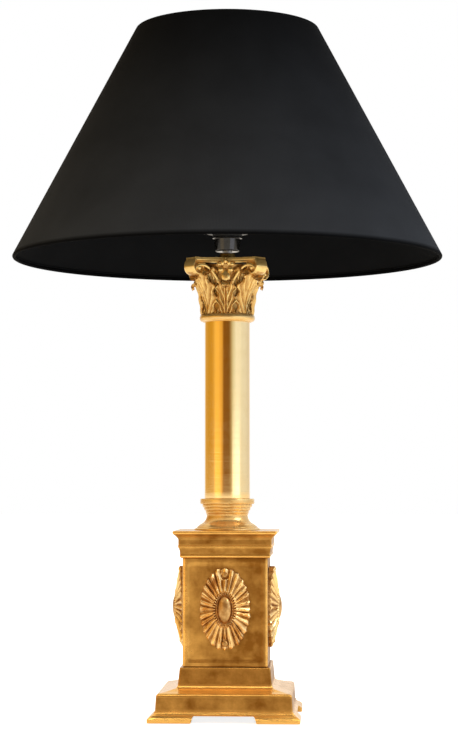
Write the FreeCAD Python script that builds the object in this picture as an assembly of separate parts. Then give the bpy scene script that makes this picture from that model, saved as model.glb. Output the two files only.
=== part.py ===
import FreeCAD, Part
import math
import os

# Column table lamp: a cast and turned brass pedestal, column and capital, held together by one
# threaded tube, with a small screw lampholder and a tapered fabric shade on top.
# Millimetres, +Z up. The origin is on the table, under the middle of the plinth. The front is -Y.

# Plinth: hollow casting that stands on four bracket feet
plinth_height = 53.0
plinth_wall = 3.3
foot_half = 77.0
foot_edge = 3.6
flare_half = 73.0
flare_height = 7.2
bead_half = 70.4
bead_height = 9.4
band_half = 69.4
band_bottom = 11.0
band_top_half = 68.6
band_top = 25.4
shoulder_half = 65.8
shoulder_height = 28.8
slope_half = 52.0
slope_height = 32.0
step_half = 48.0
step_bottom = 35.4
step_top_half = 46.2
bracket_width = 66.0
bracket_head_width = 59.0
bracket_height = 7.0

# Steel base plate under the plinth, pulled up against a ledge by the nut on the tie tube
base_plate_thickness = 2.5
base_plate_ledge = 2.6
base_plate_seat = 9.9

# Bush for the mains lead, through the back wall of the plinth
inlet_height = 18.4
inlet_bore = 2.9
inlet_shank = 3.8
inlet_flange = 5.2
inlet_flange_thickness = 1.6
inlet_nose = 3.4
inlet_nut_across_flats = 11.0
inlet_nut_thickness = 2.0

# Die: square cast box with slightly sunk panels
die_height = 111.0
die_half = 43.6
die_wall = 3.0
die_edge_radius = 3.0
panel_margin = 4.6
panel_depth = 0.6
panel_corner = 5.0

# Cornice on the die
cornice_height = 27.7
cornice_foot_half = 44.6
cornice_bead_half = 46.2
cornice_bead_top = 3.4
cornice_frieze_half = 47.5
cornice_frieze_bottom = 10.6
cornice_frieze_top = 13.0
cornice_fillet = 0.5
cornice_neck_half = 47.7
cornice_neck_top = 19.0
cornice_slab_half = 52.8
cornice_slab_edge = 3.2
cornice_wall = 3.0

# Oval rosettes, one on each face of the die
rosette_half_width = 26.6
rosette_half_height = 42.8
rosette_centre_height = 59.3
rosette_petals = 28
rosette_rim_height = 7.0
rosette_foot_height = 4.4
rosette_valley_depth = 2.6
rosette_notch = 0.95
rosette_ring_half_width = 10.9
rosette_ring_half_height = 16.8
rosette_ring_base_height = 9.2
rosette_ring_top_height = 11.0
rosette_boss_half_width = 6.0
rosette_boss_half_height = 12.6
rosette_boss_top_height = 14.0
rosette_back_margin = 5.0
rosette_back_depth = 2.4
pin_spacing = 69.5
pin_seat_height = 5.0
pin_head_radius = 3.3
pin_head_height = 1.9
pin_head_clearance = 0.3
pin_shank_radius = 1.5
pin_clearance = 0.1
pin_nut_across_flats = 5.5
pin_nut_thickness = 2.4

# Turned foot of the column
base_height = 32.5
base_foot_radius = 34.2
base_foot_edge = 1.6
base_flare_radius = 31.4
base_flare_height = 3.4
base_shoulder_radius = 28.0
base_shoulder_height = 6.2
base_throat_radius = 21.5
base_throat_height = 14.8
base_rim_radius = 28.2
base_rim_thickness = 5.6
base_rings = 3
base_wall = 3.2

# Polished tube of the column, between the foot and the neck ring
shaft_length = 184.6
shaft_radius = 23.7
shaft_wall = 1.6
spigot_length = 6.0

# Neck ring under the capital
neck_height = 8.0
neck_radius = 29.3
neck_wall = 3.0

# Capital: one casting of a bell, eight leaves, four volutes, four fleurons and an abacus
capital_height = 57.0
bell_radius = 23.6
bell_wall = 3.0
bell_waist_height = 26.0
bell_lip_radius = 31.0
leaf_height = 32.0
leaf_half_width = 10.2
face_leaf_reach = 32.8
corner_leaf_reach = 43.0
volute_reach = 52.6
volute_radius = 7.6
volute_width = 12.0
volute_height = 39.2
volute_foot_height = 20.0
volute_foot_thickness = 6.0
volute_band = 2.6
abacus_half = 41.0
abacus_thickness = 6.6
abacus_corner = 6.4
abacus_hollow = 8.6
berry_radius = 2.7

# Threaded tube from the base plate to the lampholder, with its nuts
tube_radius = 5.0
tube_bore = 3.7
tube_clearance = 0.3
nut_clearance = 0.05
tube_bottom = 2.6
tube_grip = 5.0
bottom_washer_radius = 11.0
bottom_washer_thickness = 1.0
bottom_nut_across_flats = 14.0
bottom_nut_thickness = 2.8
locknut_radius = 8.9
locknut_height = 5.1
locknut_collar_radius = 8.1
locknut_collar_height = 2.2

# Lampholder for a small screw lamp, with a threaded skirt for the shade ring
holder_gap = 2.2
cap_height = 15.5
cap_foot_radius = 12.5
cap_top_radius = 14.1
cap_flange_radius = 15.7
cap_flange_thickness = 1.7
cap_wall = 2.0
skirt_radius = 14.0
skirt_height = 34.0
skirt_spigot = 8.0
skirt_wall = 3.2
insert_thickness = 7.0
insert_drop = 1.0
screw_shell_height = 20.0
screw_shell_wall = 0.4
contact_lift = 2.6
contact_thickness = 0.5
contact_width = 4.0
terminal_screw_radius = 1.5
terminal_screw_length = 4.0
terminal_screw_place = 6.0

# Rings that carry the shade on the lampholder
reducer_collar_radius = 15.5
reducer_collar_height = 3.5
reducer_plate_radius = 22.0
reducer_plate_thickness = 2.0
reducer_centring_radius = 19.8
reducer_centring_height = 1.0
fitter_outer_radius = 24.0
fitter_thickness = 1.2
clamp_plate_radius = 21.6
clamp_plate_thickness = 1.8
clamp_grip_radius = 17.6
clamp_height = 8.0
clamp_notches = 24
clamp_notch_radius = 0.7
ring_clearance = 0.2
seat_gap = 0.05

# Shade: two wire rings, three arms and a stiff fabric cover
shade_bottom_radius = 225.0
shade_top_radius = 97.0
shade_height = 245.0
shade_drop = 29.9
cover_thickness = 0.8
hem_radius = 1.9
wire_radius = 1.25
wire_clearance = 0.12
arm_radius = 1.25
arm_flat_length = 12.0
arm_bend_radius = 10.0
arm_count = 3

# Tubular lamp with a small screw cap
lamp_length = 88.0
lamp_glass_radius = 11.0
lamp_neck_radius = 8.4
lamp_shell_radius = 6.9
lamp_shell_height = 15.5
lamp_shell_wall = 0.3
lamp_insulator_height = 3.0
lamp_insulator_radius = 5.6
lamp_contact_radius = 2.4
lamp_contact_height = 1.2
lamp_glass_wall = 0.8
lamp_filament_length = 34.0
lamp_filament_radius = 0.9
lamp_filament_spread = 5.0
thread_clearance = 0.2
fit = 0.15
dome_flat = 0.5

# Height of a quarter circle's arc over its chord, for a radius of 1
quarter_bulge = 1 - math.sqrt(0.5)

Z = FreeCAD.Vector(0, 0, 1)
ORIGIN = FreeCAD.Vector(0, 0, 0)

# Heights of the joints between the pieces, from the table up
die_bottom = plinth_height
cornice_bottom = die_bottom + die_height
column_foot = cornice_bottom + cornice_height
shaft_bottom = column_foot + base_height
neck_bottom = shaft_bottom + shaft_length
capital_bottom = neck_bottom + neck_height
capital_top = capital_bottom + capital_height
locknut_top = capital_top + locknut_height + locknut_collar_height
holder_bottom = locknut_top + holder_gap
skirt_bottom = holder_bottom + cap_height
skirt_top = skirt_bottom + skirt_height
reducer_bottom = skirt_bottom + seat_gap
fitter_seat = reducer_bottom + reducer_collar_height + reducer_plate_thickness
clamp_seat = fitter_seat + fitter_thickness
shade_bottom = fitter_seat - shade_drop
lamp_bottom = skirt_bottom + insert_drop + contact_lift + seat_gap

panel_half = die_half - panel_depth
rosette_centre = die_bottom + rosette_centre_height
shaft_bore = shaft_radius - shaft_wall


def outline(points):
    """Closed wire in the XZ plane through (across, up) corners. A third value on a corner is the
    bulge of the arc that arrives there, positive to the right of the way."""
    edges = []
    for start, end in zip(points, points[1:] + points[:1]):
        p = FreeCAD.Vector(start[0], 0, start[1])
        q = FreeCAD.Vector(end[0], 0, end[1])
        if len(end) == 3:
            way = q - p
            right = FreeCAD.Vector(way.z, 0, -way.x)
            edges.append(Part.Arc(p, (p + q) * 0.5 + right * (end[2] / way.Length), q).toShape())
        else:
            edges.append(Part.LineSegment(p, q).toShape())
    return Part.Wire(edges)


def both_sides(points):
    """Complete a right-hand outline, given from the bottom up, with its mirror image."""
    left = []
    for index in range(len(points) - 1, -1, -1):
        across, up = points[index][:2]
        if across == 0:
            continue
        above = points[index + 1] if index + 1 < len(points) else ()
        left.append((-across, up, above[2]) if len(above) == 3 else (-across, up))
    return points + left


def turned(points):
    """Solid of revolution about Z of a closed outline of (radius, height) corners."""
    return Part.Face(outline(points)).revolve(ORIGIN, Z, 360)


def moulded(points):
    """Square block with a moulding all round and mitred corners: the part that two crossed
    lengths of one moulding share. The corners are (half width, height), from the bottom up."""
    reach = max(point[0] for point in points) + 1
    face = Part.Face(outline(both_sides(points)))
    length = face.extrude(FreeCAD.Vector(0, 2 * reach, 0))
    length.translate(FreeCAD.Vector(0, -reach, 0))
    crossing = length.copy()
    crossing.rotate(ORIGIN, Z, 90)
    return length.common(crossing)


def block(half_x, half_y, bottom, top):
    """Box centred on the Z axis."""
    corner = FreeCAD.Vector(-half_x, -half_y, bottom)
    return Part.makeBox(2 * half_x, 2 * half_y, top - bottom, corner)


def rod(radius, bottom, top, x=0, y=0):
    """Upright cylinder."""
    return Part.makeCylinder(radius, top - bottom, FreeCAD.Vector(x, y, bottom))


def tube(outer, inner, bottom, top):
    """Upright ring or pipe."""
    return rod(outer, bottom, top).cut(rod(inner, bottom, top))


def hex_nut(across_flats, hole, thickness):
    """Hexagon nut on the XY plane, centred on Z."""
    corner = across_flats / math.sqrt(3)
    points = []
    for index in range(7):
        angle = math.radians(60 * index)
        points.append(FreeCAD.Vector(corner * math.cos(angle), corner * math.sin(angle), 0))
    blank = Part.Face(Part.makePolygon(points)).extrude(Z * thickness)
    return blank.cut(rod(hole, -1, thickness + 1))


def four_sides(shape):
    """The same shape on the front, right, back and left."""
    return [shape.rotated(ORIGIN, Z, 90 * side) for side in range(4)]


def upright_on_front(shape, distance, height):
    """Stand a shape made on the XY plane against the front, with its +Z side outwards."""
    standing = shape.rotated(ORIGIN, FreeCAD.Vector(1, 0, 0), 90)
    standing.translate(FreeCAD.Vector(0, -distance, height))
    return standing


def plinth():
    """Stepped plinth, hollow from below, with bracket feet, a ledge for the base plate, a hole
    for the lead bush and a lip that locates the die."""
    body = moulded([
        (foot_half, 0), (foot_half, foot_edge), (flare_half, flare_height, 0.5),
        (bead_half, bead_height, -0.4), (band_half, band_bottom, 0.4),
        (band_top_half, band_top), (shoulder_half, shoulder_height, 0.9),
        (slope_half, slope_height, -0.3), (step_half, step_bottom, -1.0),
        (step_top_half, plinth_height)])
    low_half = band_half - plinth_wall
    upper_half = low_half - base_plate_ledge
    roof = band_top - 1.0
    body = body.cut(block(low_half, low_half, -1, base_plate_seat))
    body = body.cut(block(upper_half, upper_half, -1, roof))
    step_cavity = step_top_half - plinth_wall
    body = body.cut(block(step_cavity, step_cavity, -1, plinth_height - plinth_wall))
    lip_half = die_half - die_wall - fit
    lip = block(lip_half, lip_half, plinth_height - 0.5, plinth_height + 2.5)
    body = body.fuse(lip).removeSplitter()
    body = body.cut(rod(tube_radius + tube_clearance, 0, plinth_height + 5))
    arch = Part.Face(outline(both_sides([
        (bracket_width / 2, -1), (bracket_width / 2, 0),
        (bracket_head_width / 2, bracket_height, -1.0)])))
    passage = arch.extrude(FreeCAD.Vector(0, 4 * foot_half, 0))
    passage.translate(FreeCAD.Vector(0, -2 * foot_half, 0))
    body = body.cut(passage).cut(passage.rotated(ORIGIN, Z, 90))
    hole = Part.makeCylinder(inlet_shank + fit, plinth_wall * 6,
                             FreeCAD.Vector(0, upper_half - 1, inlet_height),
                             FreeCAD.Vector(0, 1, 0))
    seat = Part.makeCylinder(inlet_flange + fit, plinth_wall * 2,
                             FreeCAD.Vector(0, inlet_seat(), inlet_height),
                             FreeCAD.Vector(0, 1, 0))
    return body.cut(hole).cut(seat)


def inlet_seat():
    """Distance from the axis to the flat spot that the lead bush sits on."""
    along = (inlet_height - band_bottom) / (band_top - band_bottom)
    return band_half + (band_top_half - band_half) * along - 0.5


def inlet_inner_face():
    """Distance from the axis to the inside of the wall behind the lead bush."""
    return band_half - plinth_wall - base_plate_ledge


def base_plate():
    """Square steel plate that closes the plinth above the bracket feet."""
    half = band_half - plinth_wall - fit
    plate = block(half, half, base_plate_seat - base_plate_thickness, base_plate_seat)
    return plate.cut(rod(tube_radius + tube_clearance, 0, plinth_height))


def lead_bush():
    """Turned bush with a flange and a rounded nose, lying along +Y through the back wall."""
    seat = inlet_seat()
    tail = inlet_inner_face() - inlet_nut_thickness - 1.5
    bush = turned([
        (inlet_bore, tail), (inlet_shank, tail), (inlet_shank, seat), (inlet_flange, seat),
        (inlet_flange, seat + inlet_flange_thickness),
        (inlet_shank, seat + inlet_flange_thickness),
        (inlet_shank, seat + inlet_nose), (inlet_bore, seat + inlet_nose + 0.6, 0.3)])
    return along_back(bush)


def lead_bush_nut():
    """Nut on the inside of the lead bush."""
    nut = hex_nut(inlet_nut_across_flats, inlet_shank + nut_clearance, inlet_nut_thickness)
    nut.translate(Z * (inlet_inner_face() - inlet_nut_thickness))
    return along_back(nut)


def along_back(shape):
    """Lay a shape made about Z along +Y, at the height of the lead bush."""
    lying = shape.rotated(ORIGIN, FreeCAD.Vector(1, 0, 0), -90)
    lying.translate(Z * inlet_height)
    return lying


def bottom_washer():
    """Washer between the base plate and the nut below it."""
    top = base_plate_seat - base_plate_thickness
    return tube(bottom_washer_radius, tube_radius + tube_clearance,
                top - bottom_washer_thickness, top)


def bottom_nut():
    """Thin hexagon nut that pulls the whole stack together."""
    nut = hex_nut(bottom_nut_across_flats, tube_radius + nut_clearance, bottom_nut_thickness)
    top = base_plate_seat - base_plate_thickness - bottom_washer_thickness
    nut.translate(Z * (top - bottom_nut_thickness))
    return nut


def tie_tube():
    """Threaded tube from the bottom nut up into the cap of the lampholder."""
    return tube(tube_radius, tube_bore, tube_bottom, holder_bottom + tube_grip)


def pedestal_die():
    """Square cast box, open at both ends, with a shallow sunk panel on each face."""
    body = block(die_half, die_half, die_bottom, cornice_bottom)
    uprights = [edge for edge in body.Edges if edge.BoundBox.ZLength > die_height / 2]
    body = body.makeFillet(die_edge_radius, uprights)
    inner = die_half - die_wall
    body = body.cut(block(inner, inner, die_bottom - 1, cornice_bottom + 1))
    width = 2 * (die_half - panel_margin)
    height = die_height - 2 * panel_margin
    panel = Part.makeBox(width, height, panel_depth + 1)
    panel.translate(FreeCAD.Vector(-width / 2, -height / 2, 0))
    corners = [edge for edge in panel.Edges if edge.BoundBox.ZLength > panel_depth / 2]
    panel = panel.makeFillet(panel_corner, corners)
    panel = upright_on_front(panel, panel_half, die_bottom + die_height / 2)
    for side in four_sides(panel):
        body = body.cut(side)
    for hole in pin_places(rod(pin_shank_radius + pin_clearance, -die_wall - 1, 1)):
        body = body.cut(hole)
    return body


def pin_places(shape):
    """Copies of a shape, made along Z with the die's panel at height 0, at the eight pins."""
    copies = []
    for offset in (-pin_spacing / 2, pin_spacing / 2):
        placed = upright_on_front(shape, panel_half, rosette_centre + offset)
        copies.extend(four_sides(placed))
    return copies


def petal_angles():
    """Angles round the oval, from its top, that part its rim into two equal lengths a petal."""
    fine = 2000
    angles = [math.pi / 2 + 2 * math.pi * index / fine for index in range(fine + 1)]
    run = [0.0]
    for before, after in zip(angles, angles[1:]):
        across = rosette_half_width * (math.cos(after) - math.cos(before))
        up = rosette_half_height * (math.sin(after) - math.sin(before))
        run.append(run[-1] + math.hypot(across, up))
    parted = []
    index = 0
    for count in range(2 * rosette_petals):
        while run[index] < run[-1] * count / (2 * rosette_petals):
            index += 1
        parted.append(angles[index])
    return parted


def rosette():
    """Oval rosette casting on the XY plane: pointed petals, each with a ridge down its middle,
    round an oval ring and a smooth boss. The rim is lower at the foot than at the top, and two
    recesses near the ends take the pin heads."""
    rim = []
    back_rim = []
    inner = []
    for index, angle in enumerate(petal_angles()):
        across = math.cos(angle)
        up = math.sin(angle)
        ridge = index % 2 == 0
        reach = 1 if ridge else rosette_notch
        height = (rosette_rim_height * (1 + up) + rosette_foot_height * (1 - up)) / 2
        if not ridge:
            height = height - rosette_valley_depth
        x = rosette_half_width * reach * across
        y = rosette_half_height * reach * up
        rim.append(FreeCAD.Vector(x, y, height))
        back_rim.append(FreeCAD.Vector(x, y, 0))
        inner.append(FreeCAD.Vector(rosette_ring_half_width * across,
                                    rosette_ring_half_height * up, rosette_ring_base_height))
    faces = []
    for index in range(-1, len(rim) - 1):
        edge = Part.LineSegment(rim[index], rim[index + 1]).toShape()
        for points in (inner, back_rim):
            other = Part.LineSegment(points[index], points[index + 1]).toShape()
            faces.append(Part.makeRuledSurface(other, edge))
    for points in (inner, back_rim):
        faces.append(Part.Face(Part.makePolygon(points + points[:1])))
    petals = Part.makeSolid(Part.makeShell(faces))
    if petals.Volume < 0:
        petals.reverse()
    ring = oval(rosette_ring_half_width, rosette_ring_half_height,
                rosette_ring_base_height - 0.6, rosette_ring_top_height)
    top_edge = [edge for edge in ring.Edges
                if edge.BoundBox.ZMin > rosette_ring_top_height - 0.01 and edge.Length > 1]
    ring = ring.makeFillet(0.8 * (rosette_ring_top_height - rosette_ring_base_height), top_edge)
    body = petals.fuse([ring, rosette_boss()])
    back = oval(rosette_half_width - rosette_back_margin,
                rosette_half_height - rosette_back_margin, -1, rosette_back_depth)
    pins = (-pin_spacing / 2, pin_spacing / 2)
    above = rosette_boss_top_height
    for y in pins:
        back = back.cut(rod(pin_head_radius, -2, rosette_back_depth + 1, 0, y))
    body = body.cut(back)
    for y in pins:
        body = body.cut(rod(pin_shank_radius + pin_clearance, -1, above, 0, y))
        body = body.cut(rod(pin_head_radius + pin_head_clearance, pin_seat_height, above, 0, y))
    return body


def rosette_boss():
    """Smooth boss in the middle of a rosette: the top of a pointed spindle along the oval."""
    rise = rosette_boss_top_height - rosette_ring_base_height
    girth = (rosette_boss_half_width ** 2 + rise ** 2) / (2 * rise)
    bend = (rosette_boss_half_height ** 2 + rise ** 2) / (2 * rise)
    end = math.sqrt(bend ** 2 - (bend - girth) ** 2)
    spindle = turned([(0, -end), (0, end, girth)])
    spindle = spindle.rotated(ORIGIN, FreeCAD.Vector(1, 0, 0), 90)
    spindle.translate(Z * (rosette_boss_top_height - girth))
    return spindle.common(block(rosette_half_width, rosette_half_height,
                                rosette_ring_base_height - 0.6, rosette_boss_top_height + 1))


def oval(half_width, half_height, bottom, top):
    """Upright oval disc."""
    if half_height >= half_width:
        ellipse = Part.Ellipse(FreeCAD.Vector(0, half_height, bottom),
                               FreeCAD.Vector(half_width, 0, bottom),
                               FreeCAD.Vector(0, 0, bottom))
    else:
        ellipse = Part.Ellipse(FreeCAD.Vector(half_width, 0, bottom),
                               FreeCAD.Vector(0, half_height, bottom),
                               FreeCAD.Vector(0, 0, bottom))
    return Part.Face(Part.Wire([ellipse.toShape()])).extrude(Z * (top - bottom))


def rosette_pin():
    """Pin with a domed head and a threaded shank, along Z from the head down into the die."""
    tail = -(die_wall - panel_depth) - pin_nut_thickness - 1.0
    return turned([
        (0, tail), (pin_shank_radius, tail), (pin_shank_radius, pin_seat_height),
        (pin_head_radius, pin_seat_height),
        (dome_flat, pin_seat_height + pin_head_height, 0.2 * pin_head_radius),
        (0, pin_seat_height + pin_head_height)])


def rosette_nut():
    """Small hexagon nut inside the die."""
    nut = hex_nut(pin_nut_across_flats, pin_shank_radius + nut_clearance, pin_nut_thickness)
    nut.translate(Z * (-(die_wall - panel_depth) - pin_nut_thickness))
    return nut


def cornice():
    """Square moulded cap of the die, hollow, with a lip inside the die and a round seat."""
    foot = cornice_bottom
    neck_top = foot + cornice_neck_top
    slab_bottom = column_foot - cornice_slab_edge
    body = moulded([
        (cornice_foot_half, foot), (cornice_bead_half, foot + cornice_bead_top, 0.9),
        (cornice_frieze_half, foot + cornice_frieze_bottom, -0.5),
        (cornice_frieze_half + cornice_fillet, foot + cornice_frieze_bottom),
        (cornice_frieze_half + cornice_fillet, foot + cornice_frieze_top),
        (cornice_neck_half, foot + cornice_frieze_top),
        (cornice_neck_half, neck_top),
        (cornice_slab_half, slab_bottom, -cornice_fillet),
        (cornice_slab_half, column_foot, cornice_fillet)])
    lip_half = die_half - die_wall - fit
    lip = block(lip_half, lip_half, foot - 2.5, foot + 1)
    cavity = block(lip_half - cornice_wall, lip_half - cornice_wall, foot - 3,
                   column_foot - cornice_wall)
    body = body.fuse(lip).cut(cavity)
    body = body.cut(rod(tube_radius + tube_clearance, foot, column_foot + 1))
    return body.removeSplitter()


def column_base():
    """Turned foot of the column: a hollow curve up to a throat, then rings that step out to a
    flat rim, with a spigot that the tube of the column stands over."""
    foot = column_foot
    rim_bottom = shaft_bottom - base_rim_thickness
    throat = foot + base_throat_height
    collar = 2.0
    steps = []
    rise = (rim_bottom - throat - collar) / base_rings
    spread = (base_rim_radius - 1.6 - base_throat_radius) / base_rings
    for index in range(base_rings):
        radius = base_throat_radius + spread * index + 0.3
        bottom = throat + collar + rise * index
        steps.append((radius, bottom))
        steps.append((radius + spread * 0.35, bottom + rise, 0.35))
    spigot = shaft_bore - fit
    bore = spigot - base_wall
    throat_bore = base_throat_radius - base_wall
    body = turned([
        (tube_radius + tube_clearance, foot), (base_foot_radius, foot),
        (base_foot_radius, foot + base_foot_edge),
        (base_flare_radius, foot + base_flare_height, -0.5),
        (base_shoulder_radius, foot + base_shoulder_height),
        (base_throat_radius, throat, -1.6)] + steps + [
        (base_rim_radius - 0.8, rim_bottom), (base_rim_radius, rim_bottom + 1.2, 0.2),
        (base_rim_radius, shaft_bottom - 0.8), (base_rim_radius - 0.8, shaft_bottom, 0.2),
        (spigot, shaft_bottom), (spigot, shaft_bottom + spigot_length),
        (min(bore, throat_bore), shaft_bottom + spigot_length),
        (min(bore, throat_bore), foot + base_wall),
        (tube_radius + tube_clearance, foot + base_wall)])
    return body


def column_shaft():
    """Plain polished tube of the column."""
    return tube(shaft_radius, shaft_bore, shaft_bottom, neck_bottom)


def neck_ring():
    """Turned half-round ring with a spigot down into the column and one up into the capital."""
    spigot = shaft_bore - fit
    bore = spigot - neck_wall
    upper = bell_radius - bell_wall - fit
    middle = neck_bottom + neck_height / 2
    return turned([
        (bore, neck_bottom - spigot_length), (spigot, neck_bottom - spigot_length),
        (spigot, neck_bottom), (shaft_radius + 1.4, neck_bottom),
        (neck_radius - 1.6, middle - 2.6, -0.2), (neck_radius - 1.6, middle + 2.6, 1.6),
        (bell_radius + 3.0, capital_bottom, -0.2), (upper, capital_bottom),
        (upper, capital_bottom + 3.0), (bore, capital_bottom + 3.0)])


def leaf(reach, rise, lobes):
    """Acanthus leaf against the bell, facing the front: a bent blade cut to a lobed outline.
    reach is how far from the axis its curled tip comes."""
    root = capital_bottom
    foot = bell_radius + 2.0
    back = bell_radius - 0.6
    tip = root + rise
    lean = reach - foot
    blade = Part.Face(outline([
        (back, root + 0.02), (foot, root + 0.02), (foot + 0.22 * lean + 1.0, root + 0.42 * rise, 0.5),
        (reach - 1.2, tip - 3.4, -0.10 * lean - 0.3), (reach - 1.9, tip, 1.6),
        (reach - 4.4, tip - 2.6, 0.4), (foot + 0.12 * lean - 0.8, root + 0.55 * rise, 0.06 * lean),
        (back, root + 0.40 * rise)]))
    half = leaf_half_width + 1
    solid = blade.extrude(FreeCAD.Vector(0, 2 * half, 0))
    solid.translate(FreeCAD.Vector(0, -half, 0))
    solid.rotate(ORIGIN, Z, -90)
    edge = [(lobes[0] * leaf_half_width, root)]
    pitch = rise / (len(lobes) + 0.2)
    for index in range(1, len(lobes)):
        wide = lobes[index] * leaf_half_width
        level = root + pitch * index
        edge.append((wide, level, 1.1))
        edge.append((wide - 1.5, level + 0.9))
    edge.append((0, tip + 0.5, 1.6))
    shape = Part.Face(outline(both_sides(edge))).extrude(FreeCAD.Vector(0, -2 * reach, 0))
    solid = solid.common(shape)
    rib_half = 1.1
    rib = Part.Face(outline([
        (foot, root + 0.02), (foot + 1.0, root + 0.02),
        (foot + 0.22 * lean + 2.0, root + 0.42 * rise, 0.5),
        (reach - 0.4, tip - 3.4, -0.10 * lean - 0.3), (reach - 1.6, tip - 3.4),
        (foot + 0.22 * lean + 0.6, root + 0.42 * rise, 0.10 * lean + 0.3)]))
    rib = rib.extrude(FreeCAD.Vector(0, 2 * rib_half, 0))
    rib.translate(FreeCAD.Vector(0, -rib_half, 0))
    rib.rotate(ORIGIN, Z, -90)
    return solid.fuse(rib)


def volute():
    """Corner scroll over the front: a flat band that climbs out of the bell and rolls in on
    itself under the abacus, as an upright spiral with a round eye."""
    eye = FreeCAD.Vector(volute_reach - volute_radius, 0, capital_bottom + volute_height)
    top = capital_top - abacus_thickness
    foot = capital_bottom + volute_foot_height
    inside = bell_radius - 1.0
    stem = Part.Face(outline([
        (inside, foot), (inside + volute_foot_thickness, foot),
        (eye.x + 1.0, top - volute_band, -3.5), (eye.x + 1.0, top), (bell_lip_radius - 4, top),
        (inside, foot + volute_foot_thickness)]))
    width = volute_width * 0.7
    stem = stem.extrude(FreeCAD.Vector(0, width, 0))
    stem.translate(FreeCAD.Vector(0, -width / 2, 0))
    along = FreeCAD.Vector(0, 1, 0)
    start = FreeCAD.Vector(eye.x, -volute_width / 2, eye.z)
    roll = Part.makeCylinder(volute_radius, volute_width, start, along)
    for side in (-1, 1):
        face_y = side * volute_width / 2
        recess = Part.makeCylinder(volute_radius - 1.7, 1.4,
                                   FreeCAD.Vector(eye.x, face_y - 0.7, eye.z), along)
        inner = Part.makeCylinder(volute_radius - 4.4, 1.6,
                                  FreeCAD.Vector(eye.x, face_y - 0.8, eye.z), along)
        roll = roll.cut(recess.cut(inner))
    scroll = stem.fuse(roll)
    scroll.rotate(ORIGIN, Z, -90)
    return scroll


def fleuron():
    """Ornament in the middle of one face, over the leaf tip: two berries under a small leaf."""
    middle = abacus_half - abacus_hollow
    level = capital_top - abacus_thickness - 5.5
    pieces = []
    for side in (-1, 1):
        centre = FreeCAD.Vector(side * (berry_radius + 1.6), -(middle - 3.6), level)
        pieces.append(Part.makeSphere(berry_radius, centre))
    stalk = Part.makeCone(3.4, 5.4, 14.0, FreeCAD.Vector(0, -(middle - 9.0), level - 8.0))
    pieces.append(stalk)
    crown = Part.makeSphere(4.2, FreeCAD.Vector(0, -(middle - 2.6), capital_top - 4.4))
    pieces.append(crown)
    return pieces


def abacus():
    """Top slab of the capital with four hollow sides and cut-off corners, in two steps."""
    top = capital_top
    middle = top - abacus_thickness * 0.45
    bottom = top - abacus_thickness
    slabs = []
    for inset, low, high in ((0, middle, top), (1.6, bottom, middle + 0.01)):
        end = abacus_half - inset
        corner = end - abacus_corner
        edges = []
        for side in range(4):
            turn = FreeCAD.Rotation(Z, 90 * side)
            a = turn.multVec(FreeCAD.Vector(-corner, -end, low))
            b = turn.multVec(FreeCAD.Vector(0, -end + abacus_hollow, low))
            c = turn.multVec(FreeCAD.Vector(corner, -end, low))
            d = turn.multVec(FreeCAD.Vector(end, -corner, low))
            edges.append(Part.Arc(a, b, c).toShape())
            edges.append(Part.LineSegment(c, d).toShape())
        slabs.append(Part.Face(Part.Wire(edges)).extrude(Z * (high - low)))
    return slabs[0].fuse(slabs[1]).removeSplitter()


def capital():
    """The whole capital as one casting."""
    root = capital_bottom
    under_abacus = capital_top - abacus_thickness
    bell = turned([
        (bell_radius - bell_wall, root), (bell_radius + 1.5, root), (bell_radius, root + 6.0),
        (bell_radius + 0.8, root + bell_waist_height, -0.6),
        (bell_lip_radius, under_abacus, -3.0),
        (bell_lip_radius - 2, under_abacus + 0.5),
        (tube_radius + tube_clearance, under_abacus + 0.5),
        (tube_radius + tube_clearance, under_abacus - bell_wall),
        (bell_radius - bell_wall, under_abacus - 3 * bell_wall)])
    pieces = [abacus()]
    face_leaf = leaf(face_leaf_reach, leaf_height, (0.86, 0.90, 1.0, 0.86, 0.62))
    corner_leaf = leaf(corner_leaf_reach, leaf_height, (0.86, 0.90, 1.0, 0.96, 0.74))
    corner_leaf = corner_leaf.rotated(ORIGIN, Z, 45)
    scroll = volute().rotated(ORIGIN, Z, 45)
    for shape in [face_leaf, corner_leaf, scroll] + fleuron():
        pieces.extend(four_sides(shape))
    body = bell.multiFuse(pieces)
    return body.cut(rod(tube_radius + tube_clearance, root, capital_top + 1))


def locknut():
    """Round brass nut on the abacus, in two steps."""
    body = tube(locknut_radius, tube_radius + nut_clearance, capital_top, capital_top + locknut_height)
    collar = tube(locknut_collar_radius, tube_radius + nut_clearance, capital_top + locknut_height,
                  locknut_top)
    return body.fuse(collar).removeSplitter()


def holder_cap():
    """Tapered cap of the lampholder with a flange at its mouth, screwed on the tie tube."""
    inner_foot = cap_foot_radius - cap_wall
    inner_top = skirt_radius - cap_wall + fit
    floor = holder_bottom + tube_grip + 1.0
    flange = skirt_bottom - cap_flange_thickness
    return turned([
        (tube_radius + nut_clearance, holder_bottom), (cap_foot_radius - 1.2, holder_bottom),
        (cap_foot_radius, holder_bottom + 1.2, 0.3), (cap_top_radius, flange - 0.8),
        (cap_flange_radius, flange, -0.2), (cap_flange_radius, skirt_bottom),
        (inner_top, skirt_bottom), (inner_top, skirt_bottom - skirt_spigot - 0.3),
        (inner_foot, floor), (tube_radius + nut_clearance, floor)])


def holder_skirt():
    """Threaded skirt of the lampholder, with a spigot inside the cap."""
    spigot = skirt_radius - cap_wall
    bore = skirt_radius - skirt_wall
    return turned([
        (bore, skirt_bottom - skirt_spigot), (spigot, skirt_bottom - skirt_spigot),
        (spigot, skirt_bottom), (skirt_radius, skirt_bottom), (skirt_radius, skirt_top - 1.0),
        (skirt_radius - 1.0, skirt_top), (bore, skirt_top)])


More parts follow.
